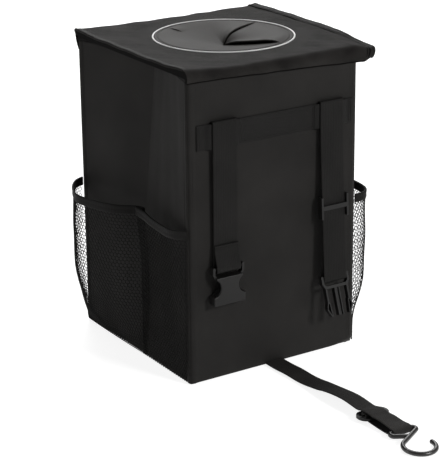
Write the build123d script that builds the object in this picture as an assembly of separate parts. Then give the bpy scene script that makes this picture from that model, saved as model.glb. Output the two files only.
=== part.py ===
from build123d import *
from math import asin, atan2, cos, degrees, hypot, pi, radians, sin, tan
import os

# Car trash bin, in millimetres. The origin is the middle of the bottom, +Z is up, and the side
# with the straps faces -Y. The lid is sewn to that side and opens at the front, +Y.

# Body: a fabric box whose left and right walls are creased inward, more towards the top
BODY_WIDTH = 200.0
BODY_DEPTH = 212.0
WALL_TOP = 311.0
FABRIC = 1.0
CREASE_FOOT = 1.0
CREASE_TOP = 30.0
BOARD = 2.4
BASE_BOARD = 3.0
LINER = 0.6
LINER_ROOM = 1.0
BOARD_MARGIN = 3.0
TAPE = 0.8
RIM_TAPE_DROP = 10.0
CLEAR = 0.3
SNUG = 0.1
TURN_SHARE = 0.98
PAST = 1.0

# Lid: a board in fabric, wider than the body on the right
LID_FABRIC = 0.8
LID_OVERHANG_LEFT = 0.5
LID_OVERHANG_RIGHT = 21.0
LID_SOFT_RIGHT = 26.0
LID_SOFT_BACK = 12.0
LID_GAP = 1.2
LID_ROLL = 3.2
LID_SKIRT = 26.0
SKIRT_CORNER = 14.0
LID_TAPE_WIDTH_LEFT = 5.0
LID_TAPE_WIDTH_RIGHT = 8.0
HINGE_STRIP = 1.0
HINGE_STRIP_DROP = 9.0
CLOSURE = 1.0
CLOSURE_WIDTH = 120.0
CLOSURE_HEIGHT = 16.0

# Round opening in the lid, closed by a rubber disc with a cross cut
DISC_X = 14.7
DISC_Y = 6.2
RING_OUTER = 73.0
RING_WIDTH = 2.0
RING_HEIGHT = 1.8
RING_LIP = 0.6
OPENING_RADIUS = 66.5
RUBBER = 1.2
FLANGE = 1.0
SLIT_REACH = 65.5
SLIT_WIDTH = 0.6
SLIT_ANGLE = 26.5
PETAL_SAG = (10.5, 10.5, 10.5, 10.5)
PETAL_BEND = (2.0, 1.1, 1.0, 6.0)

# Mesh pockets, each of two bellies
MESH = 0.8
POCKET_FOOT = 8.0
POCKET_FOOT_SHARE = 0.05
POCKET_FULL = 75.0
POCKET_TOP = 162.0
POCKET_TAPE_HEIGHT = 9.0
POCKET_TAPE = 0.5
POCKET_MARGIN = 2.0
POCKET_LAP = 1.0
POCKET_CORNER_SHARE = 0.6
BELLY = 28.0
BELLY_PRESSED = 3.0
GAP_WIDTH = 6.5
GAP_HEIGHT = 8.5
GAP_COLUMNS = 6
GAP_ROWS = 5
GAP_PITCH_Y = 11.5
GAP_PITCH_Z = 12.5

# Webbing band across the strap side, and the two straps that loop over it
BAND_MARGIN_LEFT = 10.0
BAND_MARGIN_RIGHT = 6.0
BAND_DROP = 70.5
BAND_HEIGHT = 25.5
BAND = 1.4
STRAP = 1.6
STRAP_WIDTH = 28.0
STRAP_CLEAR = 0.3
STRAP_TAIL = 6.0
STRAP_BACK = 24.0
STRAP_BACK_JOIN = 17.0
BAND_RAMP = 6.0
BAND_RISE_MARGIN = 2.0
SOCKET_STRAP_INSET = 40.0
PLUG_STRAP_INSET = 34.0

# Side-release buckle
BAR_RADIUS = 1.9
BAR_CLEAR = 0.5
BAR_TURN_SHARE = 0.9
SOCKET_WIDTH = 36.0
PLUG_WIDTH = 33.4
EAR = 2.4
EAR_DEPTH = 5.2
EAR_ROUND = 1.0
SLOT_DROP = 7.5
SOCKET_BAR_Z = 119.0
SOCKET_BAR_OUT = 7.0
SOCKET_LENGTH = 38.5
SOCKET_DEPTH = 10.4
SOCKET_ROOF = 2.2
SOCKET_COLLAR = 12.0
SOCKET_SHOULDER = 30.0
SOCKET_HEAD = 4.0
SOCKET_WAIST = 20.4
WINDOW_RADIUS = 9.5
PLUG_BAR_Z = 83.0
PLUG_BAR_OUT = 11.0
PLUG_TILT = 19.0
PLUG_DEPTH = 5.0
PLUG_CROSSBAR = 3.0
PLUG_REACH = 28.5
PLUG_ARM = 2.0
PLUG_HEAD = 15.0
PLUG_BARB = 1.6
PLUG_HEAD_WALL = 1.2
TONGUE_WIDTH = 6.4
TONGUE_WEB = 1.6
TONGUE_RIB = 1.2

# Slide adjuster on the right strap
ADJUSTER_Z = 159.0
ADJUSTER_HEIGHT = 23.0
ADJUSTER_RAIL = 2.2
ADJUSTER_BAR = 4.6
ADJUSTER_PLATE = 2.2

# Elastic strap on the floor: its route is (distance from the wall, height), then
# (distance from the slider, height)
FLOOR_STRAP = 1.4
FLOOR_STRAP_WIDTH = 22.0
FLOOR_STRAP_YAW = 1.4
FLOOR_ROUTE = (
    (-0.8, 2.1), (15, 1.5), (34, 2.7), (58, 1.6),
)
SLIDER_ROUTE = (
    (-76, 5.0), (-52, 8.2), (-33, 9.4), (-19, 8.1), (-9.5, 7.0), (-3, 9.1),
    (6, 9.2), (13, 8.2), (20, 8.8), (34, 7.5),
)
SLIDER_OUT = 160.0
LOOP_LOW = 26.0
SLIDER_Z = 4.6
SLIDER_LENGTH = 19.0
SLIDER_PLATE = 2.4
SLIDER_BAR = 3.2
SLIDER_SIDE = 6.2
SLIDER_END = 2.4
SLIDER_TAIL = 10.0
SLIDER_WRAP = 1.0
SLIDER_BEND = 1.8

# Wire hook on the end of the elastic strap
HOOK_REACH = 42.0
HOOK_WIRE = 2.3
HOOK_EYE = 14.4
HOOK_EYE_SIDE = 5.5
HOOK_CORNER = 3.2
HOOK_JOIN = 13.5
BOWL_X = -5.5
BOWL_OUT = 33.5
BOWL_RADIUS = 15.3
BOWL_TIP_ANGLE = 2.0

# Worked out from the sizes above
HALF_WIDTH = BODY_WIDTH / 2
HALF_DEPTH = BODY_DEPTH / 2
LID_LEFT = HALF_WIDTH + LID_OVERHANG_LEFT
LID_RIGHT = HALF_WIDTH + LID_OVERHANG_RIGHT
BAND_LEFT = -HALF_WIDTH + BAND_MARGIN_LEFT
BAND_RIGHT = HALF_WIDTH - BAND_MARGIN_RIGHT
BAND_LOW = WALL_TOP - BAND_DROP
SOCKET_STRAP_X = -HALF_WIDTH + SOCKET_STRAP_INSET
PLUG_STRAP_X = HALF_WIDTH - PLUG_STRAP_INSET
BASE_TOP = FABRIC + BASE_BOARD
LINER_INSET_X = FABRIC + LINER_ROOM
LINER_INSET_Y = FABRIC + BOARD + SNUG
RIM_TOP = WALL_TOP + TAPE
LID_BOTTOM = RIM_TOP + LID_GAP
LID_BOARD_LOW = LID_BOTTOM + LID_FABRIC
LID_BOARD_HIGH = LID_BOARD_LOW + BOARD
LID_TOP = LID_BOARD_HIGH + LID_FABRIC
LID_BACK = HALF_DEPTH + TAPE + HINGE_STRIP + CLEAR
SKIRT_INNER = HALF_DEPTH + TAPE + 2 * CLOSURE + CLEAR
LID_FRONT = SKIRT_INNER + LID_FABRIC
TAPE_BOTTOM = POCKET_TOP - POCKET_TAPE_HEIGHT
BAND_TOP = BAND_LOW + BAND_HEIGHT
STRAP_BEHIND = STRAP_CLEAR + STRAP / 2
BAND_RISE = STRAP + 2 * STRAP_CLEAR
STRAP_FRONT = BAND_RISE + BAND + STRAP_CLEAR + STRAP / 2
STRAP_FOLD = (STRAP_FRONT - STRAP_BEHIND) / 2
BAR_LOOP = BAR_RADIUS + BAR_CLEAR + STRAP / 2
HOOK_OUT = SLIDER_OUT + HOOK_REACH
HOOK_LOOP = HOOK_WIRE + STRAP_CLEAR + FLOOR_STRAP / 2
SLIDER_WINDOW = SLIDER_LENGTH / 2 - 1.5 * SLIDER_BAR
HOOK_Z = HOOK_LOOP + FLOOR_STRAP / 2 + SNUG
FLOOR_PLACE = Pos(0, -HALF_DEPTH, 0) * Rot(0, 0, FLOOR_STRAP_YAW)


def box(low, high):
    """Box between two corners."""
    size = [b - a for a, b in zip(low, high)]
    middle = [(a + b) / 2 for a, b in zip(low, high)]
    return Pos(*middle) * Box(*size)


def crease_at(z):
    """How far the side walls are pushed in at height z."""
    return CREASE_FOOT + (CREASE_TOP - CREASE_FOOT) * z / WALL_TOP


def body_block(low, high, inset_x, inset_y):
    """Solid between two plans of the body, set in from its outer faces."""
    x = HALF_WIDTH - inset_x
    y = HALF_DEPTH - inset_y
    sections = []
    for z in (low, high):
        waist = x - crease_at(z)
        corners = [(-x, -y), (x, -y), (waist, 0), (x, y), (-x, y), (-waist, 0)]
        sections.append(Plane.XY.offset(z) * make_face(Polyline(*corners, close=True)))
    return loft(sections, ruled=True)


def outer_shell():
    """Fabric box, open at the top, with a slot where the elastic strap leaves the seam."""
    shell = body_block(0, WALL_TOP, 0, 0) - body_block(FABRIC, WALL_TOP + PAST, FABRIC, FABRIC)
    root = FLOOR_ROUTE[0][1]
    half = FLOOR_STRAP_WIDTH / 2 + CLEAR
    rise = FLOOR_STRAP / 2 + CLEAR
    slot = box((-half, -HALF_DEPTH - PAST, root - rise), (half, -HALF_DEPTH + FABRIC, root + rise))
    return shell - slot


def base_board():
    """Board that lies on the bottom."""
    x = HALF_WIDTH - FABRIC - crease_at(BASE_TOP) - SNUG
    y = HALF_DEPTH - FABRIC - SNUG
    return box((-x, -y, FABRIC), (x, y, BASE_TOP))


def wall_board(side):
    """Board that stiffens one flat wall, standing on the base board."""
    x = HALF_WIDTH - FABRIC - BOARD_MARGIN
    faces = sorted((side * (HALF_DEPTH - FABRIC - BOARD), side * (HALF_DEPTH - FABRIC)))
    return box((-x, faces[0], BASE_TOP), (x, faces[1], WALL_TOP - SNUG))


def liner():
    """Waterproof lining: a thinner bag inside the boards."""
    outside = body_block(BASE_TOP, WALL_TOP, LINER_INSET_X, LINER_INSET_Y)
    wall = (LINER_INSET_X + LINER, LINER_INSET_Y + LINER)
    inside = body_block(BASE_TOP + LINER, WALL_TOP + PAST, *wall)
    return outside - inside


def rim_binding():
    """Tape folded over the top edge of shell, boards and liner."""
    low = WALL_TOP - RIM_TAPE_DROP
    outside = body_block(low, RIM_TOP, -TAPE, -TAPE)
    core_x = LINER_INSET_X + LINER
    core_y = LINER_INSET_Y + LINER
    middle = body_block(low - PAST, RIM_TOP + PAST, core_x + TAPE, core_y + TAPE)
    held = body_block(low - PAST, WALL_TOP, 0, 0)
    held -= body_block(low - 2 * PAST, WALL_TOP + PAST, core_x, core_y)
    return outside - middle - held


def lid_cover():
    """Fabric of the lid: rolled at the back edge, turned down at the front, open round the disc."""
    back = -LID_BACK
    outline = Polyline(
        (back, LID_BOTTOM), (back, LID_TOP), (LID_FRONT, LID_TOP), (LID_FRONT, LID_TOP - LID_SKIRT),
        (SKIRT_INNER, LID_TOP - LID_SKIRT), (SKIRT_INNER, LID_BOTTOM), close=True,
    )
    face = make_face(outline)
    face = fillet(face.vertices().group_by(Axis.Y)[-1], LID_ROLL)
    cover = extrude(Plane.YZ.offset(-LID_LEFT) * face, LID_LEFT + LID_RIGHT)
    cover = fillet(cover.edges().filter_by(Axis.Y).group_by(Axis.Z)[0], SKIRT_CORNER)
    return cover - lid_board_space() - opening(LID_BOTTOM - PAST, LID_TOP + PAST)


def opening(low, high):
    """Round hole through the lid."""
    return Pos(DISC_X, DISC_Y, (low + high) / 2) * Cylinder(OPENING_RADIUS, high - low)


def lid_board_space():
    """Room that the lid's board takes between the two layers of fabric."""
    left = -LID_LEFT + LID_FABRIC
    right = LID_RIGHT - LID_SOFT_RIGHT
    back = -LID_BACK + LID_SOFT_BACK
    return box((left, back, LID_BOARD_LOW), (right, SKIRT_INNER, LID_BOARD_HIGH))


def lid_board():
    """Stiffening board of the lid, with the same round hole."""
    return lid_board_space() - opening(LID_BOARD_LOW - PAST, LID_BOARD_HIGH + PAST)


def lid_binding(side, edge, width):
    """Tape folded over one side edge of the lid."""
    inner, outer = sorted((side * (edge - width), side * (edge + TAPE)))
    low, high = LID_BOTTOM - TAPE, LID_TOP + TAPE
    length = (-LID_BACK + LID_ROLL, SKIRT_INNER)
    tape = box((inner, length[0], low), (outer, length[1], high))
    along = tape.edges().filter_by(Axis.Y).sort_by(lambda line: side * line.center().X)
    tape = fillet(along[-2:], TAPE)
    held = sorted((side * (edge - width - PAST), side * edge))
    return tape - box((held[0], length[0] - PAST, LID_BOTTOM), (held[1], length[1] + PAST, LID_TOP))


def hinge_strip():
    """Strip sewn to the wall just under the line that the lid turns about."""
    face = HALF_DEPTH + TAPE
    high = LID_BOTTOM - CLEAR
    return box((-LID_LEFT, -face - HINGE_STRIP, high - HINGE_STRIP_DROP), (HALF_WIDTH, -face, high))


def closure(inner):
    """One half of the hook-and-loop closure at the front, inner being its face to the body."""
    low = LID_TOP - LID_SKIRT + CLOSURE
    return box((-CLOSURE_WIDTH / 2, inner, low), (CLOSURE_WIDTH / 2, inner + CLOSURE, low + CLOSURE_HEIGHT))


def turned(points):
    """Ring turned about the middle of the lid's opening from points (radius, height)."""
    profile = Plane.XZ * make_face(Polyline(*points, close=True))
    return Pos(DISC_X, DISC_Y, 0) * revolve(profile, Axis.Z)


def trim_ring():
    """Ring round the rubber disc, whose lip holds the disc's edge down."""
    inner = RING_OUTER - RING_WIDTH
    top = LID_TOP + RING_HEIGHT
    under = LID_TOP + FLANGE + SNUG
    slope = RING_HEIGHT / 3
    return turned([
        (inner + RING_LIP, LID_TOP), (RING_OUTER, LID_TOP), (RING_OUTER, top - slope),
        (RING_OUTER - slope, top), (inner + slope, top), (inner, under), (inner + RING_LIP, under),
    ])


def flap_diaphragm():
    """Rubber disc: a flat flange and four petals of a cross cut, each with its own sag."""
    edge = RING_OUTER - RING_WIDTH + RING_LIP - SNUG
    root = SLIT_REACH
    top = LID_TOP + FLANGE
    disc = turned([(root, LID_TOP), (edge, LID_TOP), (edge, top), (root, top)])
    for quarter, (sag, bend) in enumerate(zip(PETAL_SAG, PETAL_BEND)):
        heights = []
        for share in (1.0, 0.8, 0.6, 0.4, 0.2, 0.0):
            radius = SLIT_WIDTH / 2 + share * (root - SLIT_WIDTH / 2)
            heights.append((radius, top - sag * (1 - share) ** bend))
        upper = Spline(*heights)
        lower = Spline(*[(r, z - RUBBER) for r, z in heights])
        rim = Line(upper @ 0, lower @ 0)
        tip = Line(upper @ 1, lower @ 1)
        profile = Plane.XZ * make_face([upper, tip, lower, rim])
        petal = Rot(0, 0, SLIT_ANGLE + 90 * quarter) * revolve(profile, Axis.Z, 90)
        disc += Pos(DISC_X, DISC_Y, 0) * petal
    deep = max(PETAL_SAG) + RUBBER + FLANGE
    for turn in (0, 90):
        cut = Rot(0, 0, SLIT_ANGLE + turn) * Box(2 * SLIT_REACH, SLIT_WIDTH, 2 * deep)
        disc -= Pos(DISC_X, DISC_Y, top - deep + SNUG) * cut
    return disc


def belly_plan(z, side, middle, half, bulge, back):
    """Plan of one belly of a pocket, which stands on the side wall and has round outer corners."""
    wall = side * (HALF_WIDTH + back)
    front = side * (HALF_WIDTH + 2 * SNUG + bulge)
    ends = (middle - half, middle + half)
    corners = [(wall, ends[0]), (front, ends[0]), (front, ends[1]), (wall, ends[1])]
    plan = make_face(Polyline(*corners, close=True))
    outer = plan.vertices().sort_by(lambda corner: side * corner.X)[-2:]
    return Plane.XY.offset(z) * fillet(outer, POCKET_CORNER_SHARE * bulge)


def belly(levels, side, middle, half, bulge, thickness):
    """Sheet of one belly through levels of (height, share of the full bulge)."""
    outside = [belly_plan(z, side, middle, half, bulge * share, SNUG) for z, share in levels]
    inside = []
    for z, share in levels:
        depth = max(bulge * share - thickness, thickness / 2)
        inside.append(belly_plan(z, side, middle, half - thickness, depth, -SNUG))
    return loft(outside, ruled=True) - loft(inside, ruled=True)


def belly_places(near, far):
    """Middle, half length and bulge of a pocket's two bellies."""
    reach = HALF_DEPTH - POCKET_MARGIN
    half = (reach + POCKET_LAP) / 2
    middle = reach - half
    return ((-middle, half, near), (middle, half, far))


def pocket(side, near, far):
    """Mesh pocket: two bellies that narrow to the wall at the foot, pierced by rows of gaps."""
    levels = [(POCKET_FOOT, POCKET_FOOT_SHARE)]
    for share in (0.25, 0.5, 0.75, 1.0):
        levels.append((POCKET_FOOT + share * (POCKET_FULL - POCKET_FOOT), sin(share * pi / 2)))
    levels.append((TAPE_BOTTOM, 1.0))
    mesh = Part()
    gaps = Sketch()
    rise = (POCKET_FULL + TAPE_BOTTOM) / 2
    for middle, half, bulge in belly_places(near, far):
        mesh += belly(levels, side, middle, half, bulge, MESH)
        for row in range(GAP_ROWS):
            shift = GAP_PITCH_Y / 4 * (-1) ** row
            z = rise + (row - (GAP_ROWS - 1) / 2) * GAP_PITCH_Z
            for column in range(GAP_COLUMNS):
                y = middle + shift + (column - (GAP_COLUMNS - 1) / 2) * GAP_PITCH_Y
                corners = [(y - GAP_WIDTH / 2, z), (y, z - GAP_HEIGHT / 2),
                           (y + GAP_WIDTH / 2, z), (y, z + GAP_HEIGHT / 2)]
                gaps += make_face(Polyline(*corners, close=True))
    reach = max(near, far) + 2 * PAST
    return mesh - extrude(Plane.YZ.offset(side * (HALF_WIDTH - PAST)) * gaps, side * reach)


def pocket_binding(side, near, far):
    """Tape along a pocket's mouth."""
    levels = [(TAPE_BOTTOM, 1.0), (POCKET_TOP, 1.0)]
    tape = Part()
    for middle, half, bulge in belly_places(near, far):
        tape += belly(levels, side, middle, half + POCKET_TAPE, bulge + POCKET_TAPE, MESH + 2 * POCKET_TAPE)
    return tape


def strap_band():
    """Webbing sewn to the wall, raised in two places so that a strap passes behind it."""
    flat = BAND / 2
    raised = BAND_RISE + BAND / 2
    points = [(BAND_LEFT, flat)]
    for middle in (SOCKET_STRAP_X, PLUG_STRAP_X):
        half = STRAP_WIDTH / 2 + BAND_RISE_MARGIN
        points += [(middle - half - BAND_RAMP, flat), (middle - half, raised)]
        points += [(middle + half, raised), (middle + half + BAND_RAMP, flat)]
    points.append((BAND_RIGHT, flat))
    path = FilletPolyline(*[(x, -HALF_DEPTH - out, 0) for x, out in points], radius=BAND_RISE)
    start = Plane(origin=path @ 0, x_dir=(0, 0, 1), z_dir=path % 0)
    return Pos(0, 0, BAND_LOW + BAND_HEIGHT / 2) * sweep(start * Rectangle(BAND_HEIGHT, BAND), path)


def bend_radii(route, tight):
    """Arc at each corner of a route; tight gives those that go round a bar or an edge."""
    radii = []
    for i in range(1, len(route) - 1):
        before, corner, after = (Vector(*p) for p in route[i - 1:i + 2])
        turn = (corner - before).get_angle(after - corner)
        widest = 0.45 * min((corner - before).length, (after - corner).length) / tan(radians(turn / 2))
        radii.append(tight.get(i, widest))
    return radii


def ribbon(name, route, tight, width, thickness):
    """Flat strap along a route of points (x, y, z) of its middle line."""
    radii = bend_radii(route, tight)
    path = FilletPolyline(*route, radius=radii)
    start = Plane(origin=path @ 0, x_dir=(1, 0, 0), z_dir=path % 0)
    strap = sweep(start * Rectangle(width, thickness), path)
    share = strap.volume / (path.length * width * thickness)
    print(name, "length", round(path.length, 1), "radii", [round(r, 1) for r in radii])
    print(name, "volume over section times length", round(share, 4))
    return strap


def hanging_route(x, bar_out, bar_z, way):
    """Middle line of a strap that loops over the band, hangs down and turns back round a bar.
    It comes down before the bar and turns back behind it when way is 1, and the other way when -1."""
    top = BAND_TOP + STRAP_FOLD
    down = bar_out + way * BAR_LOOP
    back = bar_out - way * BAR_LOOP
    hang_z = BAND_LOW - STRAP_TAIL
    low = bar_z - BAR_LOOP
    lean = (down - STRAP_FRONT) / (hang_z - low)
    points = [(STRAP_BEHIND, BAND_LOW - STRAP_TAIL / 2), (STRAP_BEHIND, top), (STRAP_FRONT, top)]
    points += [(STRAP_FRONT, hang_z), (down, low), (back, low), (back, bar_z + BAR_LOOP)]
    for rise in (STRAP_BACK_JOIN, STRAP_BACK):
        z = bar_z + rise
        points.append((STRAP_FRONT + lean * (hang_z - z) - way * (STRAP + STRAP_CLEAR), z))
    return [(x, -HALF_DEPTH - out, z) for out, z in points]


def hanging_strap(name, x, bar_out, bar_z, way):
    """One of the two straps with a buckle half."""
    fold = TURN_SHARE * STRAP_FOLD
    turn = BAR_TURN_SHARE * BAR_LOOP
    tight = {1: fold, 2: fold, 4: turn, 5: turn}
    return ribbon(name, hanging_route(x, bar_out, bar_z, way), tight, STRAP_WIDTH, STRAP)


def leaning_plane(x, out, z, tilt):
    """Plane whose x runs along the wall and whose foot leans outward by tilt degrees."""
    lean = radians(tilt)
    return Plane(origin=(x, -HALF_DEPTH - out, z), x_dir=(1, 0, 0), z_dir=(0, -cos(lean), sin(lean)))


def both_ways(sketch, depth):
    """Sketch thickened evenly to both sides of its plane."""
    return extrude(sketch, depth / 2, both=True)


def buckle_ears(shoulder, width):
    """Bar that a strap goes round and the two horns that carry it, above a body of that shoulder width."""
    half = width / 2
    slot = half - EAR
    high = BAR_RADIUS + EAR / 2
    ears = Sketch()
    for side in (-1, 1):
        corners = [(shoulder / 2 - EAR, -SLOT_DROP - EAR), (shoulder / 2, -SLOT_DROP - EAR),
                   (half, -SLOT_DROP + EAR), (half, high), (slot, high), (slot, -SLOT_DROP + EAR),
                   (slot - EAR, -SLOT_DROP)]
        horn = make_face(Polyline(*[(side * x, y) for x, y in corners], close=True))
        ears += fillet(horn.vertices().sort_by(Axis.Y)[2:], EAR_ROUND)
    bar = Rot(0, 90, 0) * Cylinder(BAR_RADIUS, 2 * slot + EAR)
    return both_ways(ears, EAR_DEPTH) + bar


def buckle_socket():
    """Female half: a housing open at its foot, with two side windows and a bar for the strap."""
    foot = BAR_RADIUS - SOCKET_LENGTH
    collar_top = foot + SOCKET_COLLAR
    window = (collar_top - SLOT_DROP) / 2 - SOCKET_HEAD / 2
    shoulders = Pos(0, (foot - SLOT_DROP) / 2) * Rectangle(SOCKET_SHOULDER, -SLOT_DROP - foot)
    collar = Pos(0, (foot + collar_top) / 2) * RectangleRounded(SOCKET_WIDTH, SOCKET_COLLAR, EAR / 2)
    outline = shoulders + collar
    for side in (-1, 1):
        outline -= Pos(side * (SOCKET_WAIST / 2 + WINDOW_RADIUS), window) * Circle(WINDOW_RADIUS)
    body = both_ways(outline, SOCKET_DEPTH)
    body = fillet(body.edges().group_by(Axis.Z)[-1] + body.edges().group_by(Axis.Z)[0], SOCKET_ROOF / 2)
    room_top = -SLOT_DROP - SOCKET_HEAD
    room_low = foot - 1
    room = Box(SOCKET_WIDTH - 2 * EAR, room_top - room_low, SOCKET_DEPTH - 2 * SOCKET_ROOF)
    body -= Pos(0, (room_top + room_low) / 2, 0) * room
    body += buckle_ears(SOCKET_SHOULDER, SOCKET_WIDTH)
    return leaning_plane(SOCKET_STRAP_X, SOCKET_BAR_OUT, SOCKET_BAR_Z, 0) * body


def buckle_plug():
    """Male half: bar, cross bar, two sprung arms with barbed open heads, and a ribbed tongue."""
    base = -SLOT_DROP - PLUG_CROSSBAR
    tip = base - PLUG_REACH
    neck = tip + PLUG_HEAD
    arm_out = PLUG_WIDTH / 2 - EAR - CLEAR
    arm_in = arm_out - PLUG_ARM
    flat = Pos(0, (base - SLOT_DROP) / 2) * Rectangle(2 * arm_out, PLUG_CROSSBAR)
    for side in (-1, 1):
        arm = [(arm_in, base), (arm_out, base), (arm_out, neck), (arm_in, neck)]
        barb = arm_out + PLUG_BARB
        head = [(arm_in - PLUG_ARM / 2, neck), (arm_out, neck), (barb, neck - PLUG_HEAD / 3),
                (barb, neck - PLUG_HEAD / 2), (arm_in, tip), (arm_in - PLUG_ARM, tip)]
        outline = make_face(Polyline(*[(side * x, y) for x, y in head], close=True))
        flat += make_face(Polyline(*[(side * x, y) for x, y in arm], close=True))
        flat += outline - offset(outline, -PLUG_HEAD_WALL)
    plug = both_ways(flat, PLUG_DEPTH)
    tongue = Pos(0, (base + tip) / 2) * Rectangle(TONGUE_WIDTH, PLUG_REACH)
    plug += both_ways(tongue, TONGUE_WEB)
    for side in (-1, 1):
        place = Pos(side * (TONGUE_WIDTH - TONGUE_RIB) / 2, (base + tip) / 2)
        plug += both_ways(place * Rectangle(TONGUE_RIB, PLUG_REACH), PLUG_DEPTH)
    plug += buckle_ears(2 * arm_out, PLUG_WIDTH)
    return leaning_plane(PLUG_STRAP_X, PLUG_BAR_OUT, PLUG_BAR_Z, PLUG_TILT) * plug


def adjuster_plane():
    """Plane of the right strap's straight run at the adjuster's height."""
    hang, low = hanging_route(PLUG_STRAP_X, PLUG_BAR_OUT, PLUG_BAR_Z, 1)[3:5]
    share = (hang[2] - ADJUSTER_Z) / (hang[2] - low[2])
    out = -HALF_DEPTH - (hang[1] + share * (low[1] - hang[1]))
    return leaning_plane(PLUG_STRAP_X, out, ADJUSTER_Z, degrees(atan2(hang[1] - low[1], hang[2] - low[2])))


def strap_adjuster():
    """Slide adjuster: two rails, a middle bar before the strap and two end bars behind it."""
    slot = STRAP_WIDTH / 2 + STRAP_CLEAR
    gap = STRAP / 2 + STRAP_CLEAR
    depth = 2 * (gap + ADJUSTER_PLATE)
    rails = Part()
    for side in (-1, 1):
        rail = Pos(side * (slot + ADJUSTER_RAIL / 2), 0, 0) * Box(ADJUSTER_RAIL, ADJUSTER_HEIGHT, depth)
        rails += fillet(rail.edges().filter_by(Axis.X), ADJUSTER_RAIL / 2)
    bars = Pos(0, 0, gap + ADJUSTER_PLATE / 2) * Box(2 * slot + ADJUSTER_RAIL, ADJUSTER_BAR, ADJUSTER_PLATE)
    for end in (-1, 1):
        place = Pos(0, end * (ADJUSTER_HEIGHT / 2 - ADJUSTER_BAR), -gap - ADJUSTER_PLATE / 2)
        bars += place * Box(2 * slot + ADJUSTER_RAIL, ADJUSTER_BAR, ADJUSTER_PLATE)
    return adjuster_plane() * (rails + bars)


def floor_route():
    """Elastic strap's middle line: out over the slider, round the hook's bar and back to the slider."""
    high = HOOK_Z + HOOK_LOOP
    low = HOOK_Z - HOOK_LOOP
    turn = HOOK_OUT + HOOK_LOOP
    under = SLIDER_Z - SLIDER_PLATE / 2 - STRAP_CLEAR - FLOOR_STRAP / 2
    over = SLIDER_Z + SLIDER_PLATE / 2 + STRAP_CLEAR + FLOOR_STRAP / 2
    wide = (SLIDER_BAR + SLIDER_WINDOW) / 2 + SLIDER_WRAP
    narrow = wide - 2 * SLIDER_WRAP
    points = list(FLOOR_ROUTE) + [(SLIDER_OUT + out, z) for out, z in SLIDER_ROUTE]
    points += [(turn, high), (turn, low)]
    points += [(SLIDER_OUT + LOOP_LOW, low), (SLIDER_OUT + wide, under), (SLIDER_OUT + narrow, over)]
    points += [(SLIDER_OUT - narrow, over), (SLIDER_OUT - wide, under)]
    points.append((SLIDER_OUT - SLIDER_TAIL, under - SNUG))
    return [(0, -out, z) for out, z in points]


def floor_strap():
    """Elastic strap that lies on the floor."""
    first = len(FLOOR_ROUTE) + len(SLIDER_ROUTE)
    tight = {first + i: TURN_SHARE * HOOK_LOOP for i in (0, 1)}
    tight |= {first + i: SLIDER_BEND for i in (3, 4, 5, 6)}
    return FLOOR_PLACE * ribbon("floor_strap", floor_route(), tight, FLOOR_STRAP_WIDTH, FLOOR_STRAP)


def floor_slider():
    """Slider of the elastic strap: a flat frame with round ends and a middle bar."""
    width = FLOOR_STRAP_WIDTH + 2 * SLIDER_SIDE
    inner = 2 * SLIDER_WINDOW + SLIDER_BAR
    frame = RectangleRounded(width, SLIDER_LENGTH, SLIDER_LENGTH / 2 - CLEAR)
    frame -= RectangleRounded(width - 2 * SLIDER_END, inner, inner / 2 - CLEAR)
    frame += Rectangle(width - SLIDER_END, SLIDER_BAR)
    slider = both_ways(frame, SLIDER_PLATE)
    return FLOOR_PLACE * Pos(0, -SLIDER_OUT, SLIDER_Z) * slider


def hook_tilt():
    """Slope of the hook from its bar, held up by the strap, down to its bowl on the floor."""
    return degrees(asin((HOOK_Z - HOOK_WIRE - SNUG) / (BOWL_OUT + BOWL_RADIUS)))


def hook():
    """Wire hook: an eye for the strap, whose right side runs on into the round bowl."""
    corner = (HOOK_EYE, -HOOK_EYE_SIDE)
    reach = hypot(corner[0] - BOWL_X, corner[1] + BOWL_OUT)
    heading = atan2(-BOWL_OUT - corner[1], BOWL_X - corner[0]) - asin(BOWL_RADIUS / reach)
    touch_angle = degrees(heading) + 90 + 180
    around = radians(touch_angle)
    touch = (BOWL_X + BOWL_RADIUS * cos(around), -BOWL_OUT + BOWL_RADIUS * sin(around))
    eye = FilletPolyline((0, 0), (HOOK_EYE, 0), corner, touch, radius=HOOK_CORNER)
    sweep_angle = 360 + BOWL_TIP_ANGLE - touch_angle % 360
    bowl = CenterArc((BOWL_X, -BOWL_OUT), BOWL_RADIUS, touch_angle % 360, sweep_angle)
    share = (HOOK_JOIN - HOOK_EYE_SIDE) / (-touch[1] - HOOK_EYE_SIDE)
    join = (HOOK_EYE + share * (touch[0] - HOOK_EYE), -HOOK_JOIN)
    side = FilletPolyline((0, 0), (-HOOK_EYE, 0), (-HOOK_EYE, -HOOK_EYE_SIDE), join, radius=HOOK_CORNER)
    wire = Part()
    for path in (eye + bowl, side):
        section = Plane(origin=path @ 0, z_dir=path % 0) * Circle(HOOK_WIRE)
        wire += sweep(section, path)
    wire += Pos(*(bowl @ 1)) * Sphere(HOOK_WIRE)
    return FLOOR_PLACE * Pos(0, -HOOK_OUT, HOOK_Z) * Rot(hook_tilt(), 0, 0) * wire


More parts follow.
